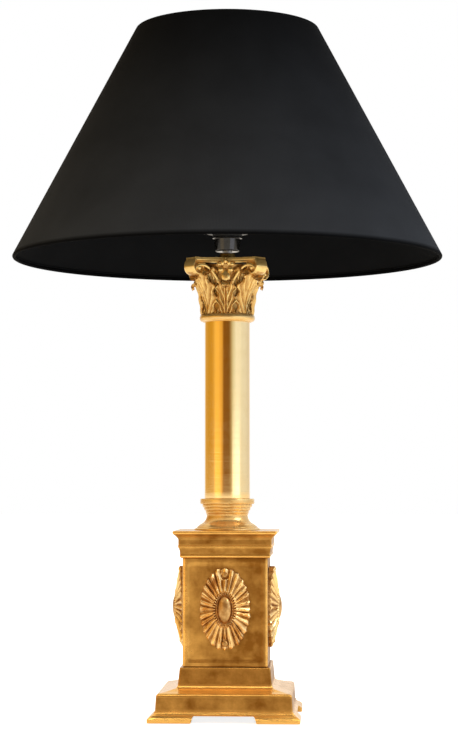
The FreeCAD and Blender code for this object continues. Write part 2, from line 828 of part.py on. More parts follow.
def holder_insert():
    """Ceramic block in the skirt that carries the contacts."""
    top = skirt_bottom + insert_drop
    radius = skirt_radius - skirt_wall - fit
    body = rod(radius, top - insert_thickness, top)
    for side in (-1, 1):
        body = body.cut(rod(terminal_screw_radius + 0.1, top - insert_thickness - 1,
                            top - insert_thickness + terminal_screw_length,
                            side * terminal_screw_place))
    return body


def screw_shell():
    """Brass shell that the lamp screws into, standing on the ceramic block."""
    inner = lamp_shell_radius + thread_clearance
    bottom = skirt_bottom + insert_drop
    body = tube(inner + screw_shell_wall, inner, bottom, bottom + screw_shell_height)
    tab = turned([
        (inner, bottom), (skirt_radius - skirt_wall - fit, bottom),
        (skirt_radius - skirt_wall - fit, bottom + screw_shell_wall),
        (inner, bottom + screw_shell_wall)])
    return body.fuse(tab).removeSplitter()


def contact_spring():
    """Bent brass strip under the lamp: a foot on the block and a raised tongue."""
    bottom = skirt_bottom + insert_drop
    reach = lamp_shell_radius - 2.0
    top = bottom + contact_lift
    strip = Part.Face(outline([
        (-reach, bottom), (-reach + 2.5, bottom), (-reach + 2.5, bottom + contact_thickness),
        (-reach + contact_thickness, bottom + contact_thickness),
        (-reach + contact_thickness, top - contact_thickness), (reach - 1.5, top - contact_thickness),
        (reach - 1.5, top), (-reach, top)]))
    body = strip.extrude(FreeCAD.Vector(0, contact_width, 0))
    body.translate(FreeCAD.Vector(0, -contact_width / 2, 0))
    return body


def terminal_screws():
    """Two terminal screws under the ceramic block."""
    bottom = skirt_bottom + insert_drop - insert_thickness
    screws = []
    for side in (-1, 1):
        x = side * terminal_screw_place
        shank = rod(terminal_screw_radius, bottom, bottom + terminal_screw_length, x)
        head = rod(terminal_screw_radius + 1.0, bottom - 1.4, bottom, x)
        slot = Part.makeBox(0.6, 8, 0.7, FreeCAD.Vector(x - 0.3, -4, bottom - 1.5))
        screws.append(shank.fuse(head).removeSplitter().cut(slot))
    return Part.makeCompound(screws)


def reducer_ring():
    """Ring that narrows the shade's fitting to the lampholder: collar, plate and centring rim."""
    bore = skirt_radius + ring_clearance
    plate_bottom = reducer_bottom + reducer_collar_height
    return turned([
        (bore, reducer_bottom), (reducer_collar_radius, reducer_bottom),
        (reducer_collar_radius, plate_bottom), (reducer_plate_radius, plate_bottom),
        (reducer_plate_radius, fitter_seat), (reducer_centring_radius, fitter_seat),
        (reducer_centring_radius, fitter_seat + reducer_centring_height),
        (bore, fitter_seat + reducer_centring_height)])


def clamp_ring():
    """Ring that screws down on the skirt over the shade's fitting, with a notched grip."""
    bore = skirt_radius + ring_clearance
    bottom = clamp_seat + seat_gap
    body = turned([
        (bore, bottom), (clamp_plate_radius, bottom),
        (clamp_plate_radius, bottom + clamp_plate_thickness),
        (clamp_grip_radius, bottom + clamp_plate_thickness),
        (clamp_grip_radius, bottom + clamp_height), (bore, bottom + clamp_height)])
    notches = []
    for index in range(clamp_notches):
        angle = 2 * math.pi * index / clamp_notches
        notches.append(rod(clamp_notch_radius, bottom + clamp_plate_thickness,
                           bottom + clamp_height + 1, clamp_grip_radius * math.cos(angle),
                           clamp_grip_radius * math.sin(angle)))
    return body.cut(Part.makeCompound(notches))


def fitter_ring():
    """Flat ring of the shade frame that the arms are welded to."""
    inner = reducer_centring_radius + ring_clearance
    return tube(fitter_outer_radius, inner, fitter_seat + seat_gap / 2,
                clamp_seat + seat_gap / 2)


def hem_centres():
    """Radius and height of the middle of the bottom and the top wire ring."""
    bottom = (shade_bottom_radius - hem_radius, shade_bottom + hem_radius)
    top = (shade_top_radius - hem_radius, shade_bottom + shade_height - hem_radius)
    return bottom, top


def wire_ring(centre):
    """Round wire ring of the shade frame."""
    return Part.makeTorus(centre[0], wire_radius, Z * centre[1])


def shade_arms():
    """Three bent wires from the fitter ring out and up to the top wire ring."""
    height = clamp_seat + seat_gap / 2 - fitter_thickness / 2
    ring_radius, ring_height = hem_centres()[1]
    bend = FreeCAD.Vector(fitter_outer_radius + arm_flat_length, 0, height)
    end = FreeCAD.Vector(ring_radius, 0, ring_height)
    rise = end - bend
    rise.normalize()
    end = end - rise * (wire_radius + arm_radius * 0.9)
    turn = math.acos(rise.x)
    back = arm_bend_radius * math.tan(turn / 2)
    start = FreeCAD.Vector(fitter_outer_radius, 0, height)
    arc_start = bend - FreeCAD.Vector(back, 0, 0)
    arc_end = bend + rise * back
    centre = arc_start + Z * arm_bend_radius
    arc_middle = centre + (bend - centre) * (arm_bend_radius / (bend - centre).Length)
    path = Part.Wire([Part.LineSegment(start, arc_start).toShape(),
                      Part.Arc(arc_start, arc_middle, arc_end).toShape(),
                      Part.LineSegment(arc_end, end).toShape()])
    section = Part.Wire([Part.makeCircle(arm_radius, start, FreeCAD.Vector(1, 0, 0))])
    arm = path.makePipeShell([section], True, False)
    arms = []
    for index in range(arm_count):
        arms.append(arm.rotated(ORIGIN, Z, 360 * index / arm_count - 90))
    return Part.makeCompound(arms)


def shade_cover():
    """Stiff lined fabric cone that rolls round both wire rings."""
    bottom, top = hem_centres()
    way = FreeCAD.Vector(top[0] - bottom[0], 0, top[1] - bottom[1])
    out_r = way.z / way.Length
    out_z = -way.x / way.Length
    near = hem_radius - cover_thickness
    sheet = turned([
        (bottom[0] + out_r * near, bottom[1] + out_z * near),
        (bottom[0] + out_r * hem_radius, bottom[1] + out_z * hem_radius),
        (top[0] + out_r * hem_radius, top[1] + out_z * hem_radius),
        (top[0] + out_r * near, top[1] + out_z * near)])
    hems = []
    voids = []
    for radius, height in (bottom, top):
        hems.append(Part.makeTorus(radius, hem_radius, Z * height))
        voids.append(Part.makeTorus(radius, wire_radius + wire_clearance, Z * height))
    return sheet.multiFuse(hems).cut(Part.makeCompound(voids))


def lamp_contact():
    """Solder contact at the foot of the lamp."""
    return turned([
        (0, lamp_bottom), (lamp_contact_radius * 0.6, lamp_bottom),
        (lamp_contact_radius, lamp_bottom + lamp_contact_height, 0.3),
        (0, lamp_bottom + lamp_contact_height)])


def lamp_insulator():
    """Black glass insulator between the contact and the shell."""
    bottom = lamp_bottom + lamp_contact_height
    return turned([
        (0, bottom), (lamp_contact_radius + 0.6, bottom),
        (lamp_insulator_radius, bottom + lamp_insulator_height), (0, bottom + lamp_insulator_height)])


def lamp_shell():
    """Thin screw shell of the lamp."""
    bottom = lamp_bottom + lamp_contact_height + lamp_insulator_height + seat_gap
    inner = lamp_shell_radius - lamp_shell_wall
    return turned([
        (inner, bottom + 1.2), (lamp_insulator_radius - 0.6, bottom), (lamp_insulator_radius, bottom),
        (lamp_shell_radius, bottom + 1.2), (lamp_shell_radius, bottom + lamp_shell_height),
        (inner, bottom + lamp_shell_height)])


def lamp_glass():
    """Glass tube with a drawn-in neck that stands in the shell and a domed end."""
    shell_bottom = lamp_bottom + lamp_contact_height + lamp_insulator_height + seat_gap
    shell_top = shell_bottom + lamp_shell_height
    foot = shell_top - 5.0
    inner_foot = lamp_shell_radius - lamp_shell_wall - 0.1
    shoulder = skirt_top + 3.0
    top = lamp_bottom + lamp_length
    wall = lamp_glass_wall
    dome = top - lamp_glass_radius
    return turned([
        (inner_foot - wall, foot), (inner_foot, foot), (inner_foot, shell_top),
        (lamp_neck_radius, shell_top + 2.0), (lamp_neck_radius, shoulder - 2.0),
        (lamp_glass_radius, shoulder + 8.0, 0.8), (lamp_glass_radius, dome),
        (dome_flat, top, quarter_bulge * lamp_glass_radius), (0, top), (0, top - wall),
        (dome_flat, top - wall),
        (lamp_glass_radius - wall, dome, -quarter_bulge * (lamp_glass_radius - wall)),
        (lamp_glass_radius - wall, shoulder + 8.0), (lamp_neck_radius - wall, shoulder - 2.0, -0.8),
        (lamp_neck_radius - wall, shell_top + 2.0), (inner_foot - wall, shell_top)])


def lamp_stem():
    """Glass stem inside the lamp with a flat head under the filaments."""
    shell_bottom = lamp_bottom + lamp_contact_height + lamp_insulator_height + seat_gap
    foot = shell_bottom + lamp_shell_height - 5.0
    inner_foot = lamp_shell_radius - lamp_shell_wall - 0.1 - lamp_glass_wall
    head = skirt_top + 12.0
    return turned([
        (0, foot), (inner_foot - 0.1, foot), (inner_foot - 0.1, foot + 1.0),
        (2.0, foot + 5.0), (2.0, head), (0, head)])


def lamp_filaments():
    """Upright filament rods, with their cross wires joined into one carrier."""
    bottom = skirt_top + 12.0
    pieces = [rod(0.5, bottom, bottom + lamp_filament_length + 2.0)]
    for index in range(4):
        angle = math.radians(90 * index + 45)
        x = lamp_filament_spread * math.cos(angle)
        y = lamp_filament_spread * math.sin(angle)
        pieces.append(rod(lamp_filament_radius, bottom + 1.0, bottom + 1.0 + lamp_filament_length,
                          x, y))
        for level in (bottom + 1.4, bottom + lamp_filament_length + 0.6):
            wire = Part.makeCylinder(0.3, lamp_filament_spread, FreeCAD.Vector(0, 0, level),
                                     FreeCAD.Vector(x, y, 0))
            pieces.append(wire)
    return pieces[0].multiFuse(pieces[1:])


nodes = {
    "plinth": plinth(),
    "base_plate": base_plate(),
    "lead_bush": lead_bush(),
    "lead_bush_nut": lead_bush_nut(),
    "tie_tube": tie_tube(),
    "bottom_washer": bottom_washer(),
    "bottom_nut": bottom_nut(),
    "pedestal_die": pedestal_die(),
    "pedestal_cornice": cornice(),
    "rosette_pins": Part.makeCompound(pin_places(rosette_pin())),
    "rosette_nuts": Part.makeCompound(pin_places(rosette_nut())),
    "column_base": column_base(),
    "column_shaft": column_shaft(),
    "neck_ring": neck_ring(),
    "capital": capital(),
    "locknut": locknut(),
    "holder_cap": holder_cap(),
    "holder_skirt": holder_skirt(),
    "holder_insert": holder_insert(),
    "screw_shell": screw_shell(),
    "contact_spring": contact_spring(),
    "terminal_screws": terminal_screws(),
    "reducer_ring": reducer_ring(),
    "clamp_ring": clamp_ring(),
    "shade_fitter_ring": fitter_ring(),
    "shade_arms": shade_arms(),
    "shade_bottom_wire": wire_ring(hem_centres()[0]),
    "shade_top_wire": wire_ring(hem_centres()[1]),
    "shade_cover": shade_cover(),
    "lamp_contact": lamp_contact(),
    "lamp_insulator": lamp_insulator(),
    "lamp_shell": lamp_shell(),
    "lamp_glass": lamp_glass(),
    "lamp_stem": lamp_stem(),
    "lamp_filaments": lamp_filaments(),
}
front_rosette = upright_on_front(rosette(), panel_half, rosette_centre)
for side_name, side_rosette in zip(("front", "right", "back", "left"), four_sides(front_rosette)):
    nodes["rosette_" + side_name] = side_rosette

os.makedirs("parts", exist_ok=True)
for name, shape in nodes.items():
    shape.exportStep(os.path.join("parts", name + ".step"))
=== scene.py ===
import math

import bpy
import numpy as np
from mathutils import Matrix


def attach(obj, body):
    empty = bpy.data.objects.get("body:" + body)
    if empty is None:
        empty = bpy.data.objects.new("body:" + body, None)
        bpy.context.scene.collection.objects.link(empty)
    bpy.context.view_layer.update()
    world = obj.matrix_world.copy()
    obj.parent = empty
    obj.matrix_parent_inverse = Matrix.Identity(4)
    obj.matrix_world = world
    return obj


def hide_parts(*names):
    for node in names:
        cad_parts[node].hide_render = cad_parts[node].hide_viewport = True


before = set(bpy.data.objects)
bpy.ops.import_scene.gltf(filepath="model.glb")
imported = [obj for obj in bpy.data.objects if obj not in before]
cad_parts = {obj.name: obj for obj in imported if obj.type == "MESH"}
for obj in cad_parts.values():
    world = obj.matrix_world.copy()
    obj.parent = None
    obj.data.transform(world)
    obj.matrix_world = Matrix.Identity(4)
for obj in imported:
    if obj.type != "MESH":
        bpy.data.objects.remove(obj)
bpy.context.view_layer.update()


# Plinth: a sand-cast brass shell that stands on four bracket feet. Its mouldings are filed and
# brushed by hand, so the arrises are bright and the hollows keep a brown wax patina.

def moulding(corners, soft=0.5, step=3.0):
    """Points round a closed moulding outline, in millimetres. Each corner is (out, up), and a
    third value bows the way to it, to the right, by that height: out + bow * 4t(1 - t). Every
    corner then gives way to a quadratic curve that starts and ends soft millimetres from it."""
    line = []
    for start, end in zip(corners[-1:] + corners[:-1], corners):
        p, q = np.array(start[:2], float), np.array(end[:2], float)
        way = q - p
        length = np.hypot(*way)
        bow = end[2] if len(end) == 3 else 0.0
        pieces = max(int(np.ceil(length / step)), 10 if bow else 1)
        t = np.linspace(0, 1, pieces + 1)[1:, None]
        line.append(p + way * t + np.array([way[1], -way[0]]) / length * bow * 4 * t * (1 - t))
    line = np.vstack(line)
    back = np.roll(line, 1, axis=0) - line
    ahead = np.roll(line, -1, axis=0) - line
    size_back = np.linalg.norm(back, axis=1, keepdims=True)
    size_ahead = np.linalg.norm(ahead, axis=1, keepdims=True)
    sharp = np.sum(back * ahead, axis=1) / (size_back * size_ahead)[:, 0] > -0.94
    before = line + back * np.minimum(soft / size_back, 0.45)
    after = line + ahead * np.minimum(soft / size_ahead, 0.45)
    t = np.linspace(0, 1, 5)[None, :, None]
    round_off = (before[:, None] * (1 - t) ** 2 + line[:, None] * 2 * t * (1 - t)
                 + after[:, None] * t ** 2)
    return np.vstack([round_off[i] if sharp[i] else line[i:i + 1] for i in range(len(line))])


def arris(outline, reach=1.6):
    """1 on the outward corners of a closed outline and falling off over reach millimetres:
    the largest exp(-distance / reach) to a point where the outline turns by over 10 degrees."""
    ahead = np.roll(outline, -1, axis=0) - outline
    back = outline - np.roll(outline, 1, axis=0)
    turn = np.arctan2(back[:, 0] * ahead[:, 1] - back[:, 1] * ahead[:, 0],
                      np.sum(back * ahead, axis=1))
    area = np.sum(outline[:, 0] * np.roll(outline[:, 1], -1)
                  - outline[:, 1] * np.roll(outline[:, 0], -1))
    outward = turn * np.sign(area) > math.radians(10)
    gaps = np.linalg.norm(outline[:, None] - outline[None, outward], axis=2)
    return np.exp(-gaps.min(axis=1) / reach)


def square_loop(outline, corner, ends, sink=None):
    """Carry an outline of (half width, height) points round a square with rounded corners. Along
    a side x runs through the fixed values in ends, drawn in where the square is smaller than
    they are, then on to half width - corner, and a quarter circle follows. sink(x, half, height)
    may give new half widths and heights on the sides."""
    half, height = outline[:, :1], outline[:, 1:]
    drawn_in = np.minimum((half - corner) / (1.02 * ends[-1]), 1)
    last = ends[-1] * drawn_in
    out = np.linspace(0, 1, 6)[1:]
    right = last + (half - corner - last) * out
    x = np.hstack((-right[:, ::-1], ends * drawn_in, right))
    y = np.repeat(-half, x.shape[1], axis=1)
    z = np.repeat(height, x.shape[1], axis=1)
    if sink:
        new_half, z = sink(x, -y, z)
        y = -new_half
    angle = np.radians(np.linspace(-90, 0, 8)[1:-1])
    bend = np.stack((half - corner + corner * np.cos(angle),
                     -half + corner + corner * np.sin(angle),
                     np.repeat(height, len(angle), axis=1)), -1)
    side = np.concatenate((np.stack((x, y, z), -1), bend), axis=1)
    return np.concatenate(quarters(side), axis=1)


def quarters(points):
    """The same points turned by 0, 90, 180 and 270 degrees about the upright axis."""
    turned = [points]
    for _ in range(3):
        last = turned[-1]
        turned.append(np.stack((-last[..., 1], last[..., 0], last[..., 2]), -1))
    return turned


def surface(name, grids, around=True, along=True, creases=50, wear_and_painted_light=None, weave=None):
    """One closed mesh from grids of points in millimetres: copies by rows by columns by xyz.
    around joins the last column to the first and along the last row to the first. A row whose
    points all meet becomes a pole. The wear, which on some pieces also holds painted light and
    shade, is kept as a value on the points, weave as a UV map."""
    grids = np.asarray(grids, float)
    if grids.ndim == 3:
        grids = grids[None]
    copies, rows, columns = grids.shape[:3]
    index = np.arange(copies * rows * columns).reshape(copies, rows, columns)
    if not along:
        for row in (0, rows - 1):
            if np.ptp(grids[0, row], axis=0).max() < 1e-6:
                index[:, row] = index[:, row, :1]
    if around:
        index = np.concatenate((index, index[:, :, :1]), axis=2)
    if along:
        index = np.concatenate((index, index[:, :1]), axis=1)
    quads = np.stack((index[:, :-1, :-1], index[:, :-1, 1:], index[:, 1:, 1:],
                      index[:, 1:, :-1]), -1).reshape(-1, 4)
    places = grids.reshape(-1, 3) * 0.001
    a, b, c, d = (places[quads[:, k]] for k in range(4))
    volume = np.sum(a * np.cross(b, c)) + np.sum(a * np.cross(c, d))
    if volume < 0:
        quads = quads[:, ::-1]
    kept = quads != np.roll(quads, -1, axis=1)
    corners = quads[kept]
    used, loops = np.unique(corners, return_inverse=True)
    mesh = bpy.data.meshes.new(name)
    mesh.vertices.add(len(used))
    mesh.vertices.foreach_set("co", places[used].ravel())
    mesh.loops.add(len(loops))
    mesh.loops.foreach_set("vertex_index", loops.astype(np.int32).ravel())
    sides = kept.sum(axis=1)
    mesh.polygons.add(len(sides))
    starts = np.concatenate(([0], np.cumsum(sides)[:-1]))
    mesh.polygons.foreach_set("loop_start", starts.astype(np.int32))
    mesh.polygons.foreach_set("use_smooth", np.ones(len(sides), dtype=bool))
    mesh.update(calc_edges=True)
    mesh.set_sharp_from_angle(angle=math.radians(creases))
    if wear_and_painted_light is not None:
        wear_and_painted_light = np.broadcast_to(wear_and_painted_light, grids.shape[:3])
        layer = mesh.attributes.new("wear_and_painted_light", "FLOAT", "POINT")
        layer.data.foreach_set("value", wear_and_painted_light.ravel()[used].astype(np.float32))
    if weave is not None:
        layer = mesh.uv_layers.new(name="weave")
        weave = np.broadcast_to(weave, grids.shape[:3] + (2,)).reshape(-1, 2)
        layer.data.foreach_set("uv", weave[corners].ravel().astype(np.float32))
    piece = bpy.data.objects.new(name, mesh)
    bpy.context.scene.collection.objects.link(piece)
    return piece


def new_finish(name):
    """A new material, with its node tree and its shader."""
    material = bpy.data.materials.new(name)
    material.use_nodes = True
    return material, material.node_tree, material.node_tree.nodes["Principled BSDF"]


def maths(tree, operation, *values):
    """The outcome of an operation on values, each an output of another node or a number."""
    node = tree.nodes.new("ShaderNodeMath")
    node.operation = operation
    for socket, value in zip(node.inputs, values):
        if isinstance(value, bpy.types.NodeSocket):
            tree.links.new(value, socket)
        else:
            socket.default_value = value
    return node.outputs[0]


def spread(tree, value, low, high, start=0.0, end=1.0):
    """Bring a value from between start and end to between low and high in a straight line."""
    node = tree.nodes.new("ShaderNodeMapRange")
    for name, number in (("From Min", start), ("From Max", end), ("To Min", low),
                         ("To Max", high)):
        node.inputs[name].default_value = number
    tree.links.new(value, node.inputs["Value"])
    return node.outputs["Result"]


def clouds(tree, place, scale, detail=2.0, roughness=0.5):
    """Soft noise over a place, with scale clouds to the metre."""
    node = tree.nodes.new("ShaderNodeTexNoise")
    for name, number in (("Scale", scale), ("Detail", detail), ("Roughness", roughness)):
        node.inputs[name].default_value = number
    tree.links.new(place, node.inputs["Vector"])
    return node.outputs["Fac"]


def emboss(tree, shader, height, strength, distance):
    """Let a height between 0 and 1 stand out of the surface by a distance in metres."""
    bump = tree.nodes.new("ShaderNodeBump")
    bump.inputs["Strength"].default_value = strength
    bump.inputs["Distance"].default_value = distance
    tree.links.new(height, bump.inputs["Height"])
    tree.links.new(bump.outputs["Normal"], shader.inputs["Normal"])


def brass(name, bright, deep, polish, dull, cloud=45.0, mark=0.5, brush=(30, 30, 900),
          grain=0.04, lacquer=0.0, metal=0.86):
    """Brass whose colour and gloss go from deep and dull in the hollows to bright and polished
    on the arrises. The mix is the wear value, which on some pieces also holds painted light and
    shade, plus clouds of noise, and a stretched noise gives the brush marks. mark is the wear
    where a piece carries none, and metal is lower where tarnish scatters the light."""
    material, tree, shader = new_finish(name)
    shader.inputs["Metallic"].default_value = metal
    shader.inputs["Coat Weight"].default_value = lacquer
    shader.inputs["Coat Roughness"].default_value = 0.08
    place = tree.nodes.new("ShaderNodeTexCoord").outputs["Object"]
    shift = spread(tree, clouds(tree, place, cloud, 5.0, 0.62), -0.3, 0.3, 0.3, 0.7)
    if mark is None:
        wear_and_painted_light = tree.nodes.new("ShaderNodeAttribute")
        wear_and_painted_light.attribute_name = "wear_and_painted_light"
        mark = wear_and_painted_light.outputs["Fac"]
    mix = maths(tree, "ADD", shift, mark)
    mix.node.use_clamp = True
    colour = tree.nodes.new("ShaderNodeMix")
    colour.data_type = "RGBA"
    colour.inputs["A"].default_value = (*deep, 1)
    colour.inputs["B"].default_value = (*bright, 1)
    tree.links.new(mix, colour.inputs["Factor"])
    tree.links.new(colour.outputs["Result"], shader.inputs["Base Color"])
    tree.links.new(spread(tree, mix, dull, polish), shader.inputs["Roughness"])
    stretch = tree.nodes.new("ShaderNodeMapping")
    stretch.inputs["Scale"].default_value = brush
    tree.links.new(place, stretch.inputs["Vector"])
    emboss(tree, shader, clouds(tree, stretch.outputs["Vector"], 1.0, 4.0), grain, 0.001)
    return material


foot_half, inner_half, bracket_top = 77.0, 66.1, 7.0
plinth_outline = moulding([
    (inner_half, 0), (foot_half, 0), (foot_half, 3.6), (73.0, 7.2, 0.5), (70.4, 9.4, -0.4),
    (69.4, 11.0, 0.4), (68.6, 25.4), (65.8, 28.8, 0.9), (52.0, 32.0, -0.3), (48.0, 35.4, -1.0),
    (46.2, 53.0), (10.0, 53.0), (10.0, 49.7), (42.9, 49.7), (42.9, 24.4), (63.5, 24.4),
    (63.5, 9.9), (inner_half, 9.9)], soft=0.8, step=1.6)
flare_height, flare_half = np.array([(0, 3.6, 5.4, 7.2, 8.3, 9.4),
                                     (foot_half, foot_half, 75.4, 73.0, 71.4, 70.4)])


def bracket_arch(x, half, height):
    """Lift the foot of the moulding over the gap between two bracket feet. The gap's edge rises
    by a hollow quarter curve from half its width, 33 mm, to 7 mm at 29.5 mm. Below 9 mm the
    moulding's heights are squeezed into what is left, and the half widths follow the flare."""
    rise = np.clip((33.0 - np.abs(x)) / 3.5, 0, 1)
    edge = bracket_top * (1 - (1 - rise) ** 2.2)
    lifted = np.where(height < 9, edge + height * (9 - edge) / 9, height)
    outer = np.interp(lifted, flare_height, flare_half)
    across = np.clip((half - inner_half) / (foot_half - inner_half), 0, 1)
    under = inner_half + (outer - inner_half) * across
    on_foot = (height < 0.5) & (across < 0.99)
    low = np.where(on_foot, under, np.where(half > inner_half + 0.5, outer, half))
    return np.where(height < 9, low, half), lifted


bracket_stations = np.array([33.6, 33.2, 32.8, 32.4, 32.0, 31.6, 31.2, 30.8, 30.4, 30.0, 29.6,
                             29.2])
middle_stations = np.linspace(-28, 28, 29)
plinth_stations = np.concatenate(([-40, -36], -bracket_stations, middle_stations,
                                  bracket_stations[::-1], [36, 40]))
plinth_points = square_loop(plinth_outline, 1.6, plinth_stations, bracket_arch)
# The sloping shoulder from 29 to 34 mm gets full wear, partly burnish and partly painted light from
# above. The cosine of the turn paints the left and front faces lighter and the right and back faces
# darker, as the light falls.
plinth_polish_and_painted_light = np.interp(plinth_outline[:, 1], [0, 8, 11, 14, 24, 27, 29, 34, 37, 53],
                        [0.8, 1.0, 0.5, 0.16, 0.2, 0.6, 1.0, 1.0, 0.18, 0.22])
plinth_turn = np.arctan2(plinth_points[..., 0], -plinth_points[..., 1])
plinth_polish_and_painted_light = ((plinth_polish_and_painted_light + 0.5 * arris(plinth_outline, 1.2))[:, None]
               + 0.12 * np.cos(plinth_turn + 0.8))
plinth = surface("plinth_casting", plinth_points, wear_and_painted_light=plinth_polish_and_painted_light)
waxed_brass = brass("waxed cast brass", (0.95, 0.53, 0.125), (0.25, 0.095, 0.006), 0.20, 0.40,
                    mark=None, brush=(60, 60, 700), grain=0.10, metal=0.78)
plinth.data.materials.append(waxed_brass)
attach(plinth, "lamp")
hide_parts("plinth")


# Base plate with its washer, nut and the long threaded tube: zinc plated steel. The plate is
# sawn from sheet, and the nut under it pulls the plinth, die, column and capital together.

def plated(name, colour, roughness, flecks):
    """Zinc plating: a grey metal whose gloss is broken up by fine crystal flecks, from a cell
    pattern whose cells each have their own roughness."""
    material, tree, shader = new_finish(name)
    shader.inputs["Metallic"].default_value = 1.0
    cells = tree.nodes.new("ShaderNodeTexVoronoi")
    cells.inputs["Scale"].default_value = flecks
    tree.links.new(tree.nodes.new("ShaderNodeTexCoord").outputs["Object"], cells.inputs["Vector"])
    tint = tree.nodes.new("ShaderNodeValToRGB")
    tint.color_ramp.elements[0].color = (*[0.86 * c for c in colour], 1)
    tint.color_ramp.elements[1].color = (*colour, 1)
    tree.links.new(cells.outputs["Color"], tint.inputs["Fac"])
    tree.links.new(tint.outputs["Color"], shader.inputs["Base Color"])
    gloss = spread(tree, cells.outputs["Color"], roughness - 0.08, roughness + 0.08)
    tree.links.new(gloss, shader.inputs["Roughness"])
    return material


def finish_nodes(material, *names):
    """Give carried-over pieces their material."""
    for name in names:
        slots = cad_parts[name].data.materials
        slots.clear()
        slots.append(material)


zinc = plated("zinc plated steel", (0.60, 0.61, 0.63), 0.34, 700)
finish_nodes(zinc, "base_plate", "bottom_washer", "bottom_nut", "tie_tube")


# Lead bush and its nut, low in the back wall of the plinth: turned brass with a rounded nose
# that saves the mains lead from a sharp edge. The nut holds it from inside.

turned_brass = brass("turned brass", (0.93, 0.62, 0.20), (0.62, 0.33, 0.07), 0.16, 0.30,
                     cloud=160, mark=0.7, brush=(500, 500, 500), grain=0.03, lacquer=0.3)
finish_nodes(turned_brass, "lead_bush", "lead_bush_nut")


# Die: the square box above the plinth, cast in one piece. Each face is dished a little inside
# a plain border, and hand polishing has left the borders and corners brighter than the panels.

die_bottom, die_top, die_half, die_wall = 53.0, 164.0, 43.6, 42.1
panel_half_width, panel_half_height, panel_corner, panel_depth = 39.0, 50.9, 5.0, 0.6
die_outline = moulding([(die_half - 1.2, die_bottom), (die_half, die_bottom + 0.9),
                        (die_half, die_top), (40.6, die_top),
                        (40.6, die_bottom)], soft=0.5, step=1.4)


def panel_depth_at(x, height):
    """How far a point lies inside the border, from 0 to 1 over 3 mm: a smooth step of the
    distance to a rectangle with rounded corners."""
    across = np.abs(x) - panel_half_width + panel_corner
    up = np.abs(height - (die_bottom + die_top) / 2) - panel_half_height + panel_corner
    outside = np.hypot(np.maximum(across, 0), np.maximum(up, 0))
    gap = outside + np.minimum(np.maximum(across, up), 0) - panel_corner
    inside = np.clip(-gap / 3.0, 0, 1)
    return inside * inside * (3 - 2 * inside)


def dished_face(x, half, height):
    """Sink the panel of the outer faces by its depth."""
    outer = half > die_wall
    return half - np.where(outer, panel_depth * panel_depth_at(x, height), 0), height


die_points = square_loop(die_outline, 3.0, np.linspace(-39, 39, 79), dished_face)
die_side = np.maximum(np.abs(die_points[..., 0]), np.abs(die_points[..., 1]))
die_across = np.minimum(np.abs(die_points[..., 0]), np.abs(die_points[..., 1]))
die_sunk = panel_depth_at(die_across, die_points[..., 2])
die_corner = np.exp(-np.clip(die_wall - die_across, 0, None) / 1.6)
die_seam = np.exp(-(die_points[..., 2] - die_bottom) / 0.7)
# The dark band just under the cornice is painted shadow with some real patina in it, and the cosine
# of the turn paints the left and front faces lighter and the right and back faces darker, as the
# light falls.
die_painted_shadow_and_patina = np.exp(-(die_top - die_points[..., 2]) / 4.0)
die_turn = np.arctan2(die_points[..., 0], -die_points[..., 1])
die_polish_and_painted_light = (0.12 + 0.06 * (1 - die_sunk) + 0.55 * die_corner - 0.9 * die_seam - 0.3 * die_painted_shadow_and_patina
            + 0.26 * np.cos(die_turn + 1.0))
die = surface("die_casting", die_points, wear_and_painted_light=np.where(die_side > die_wall, die_polish_and_painted_light, 0.2))
die.data.materials.append(waxed_brass)
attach(die, "lamp")
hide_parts("pedestal_die")


# Rosettes: an oval casting on each face of the die, with ridged petals of uneven width round a
# beaded ring and a smooth boss. Two domed pins hold each one, with small nuts inside the die.

petals = 28
rosette_width, rosette_length, rosette_middle, rosette_seat = 26.6, 42.8, 112.3, 43.0
ring_width, ring_length, ring_top = 10.9, 16.8, 10.6
boss_width, boss_length, boss_top = 6.8, 13.4, 14.0
pin_offset, pin_seat = 34.75, 5.0
beads = 40


def oval_stations(count, per_petal):
    """Angles round an oval whose petals are equally long along its rim, as the rim's length is
    measured: the running sum of the steps, turned round and read at equal shares."""
    angle = np.linspace(0, 2 * np.pi, 4001)
    steps = np.hypot(np.diff(rosette_width * np.sin(angle)),
                     np.diff(rosette_length * np.cos(angle)))
    run = np.concatenate(([0], np.cumsum(steps)))
    share = np.arange(count * per_petal) / (count * per_petal)
    return np.interp(share, run / run[-1], angle), share * count


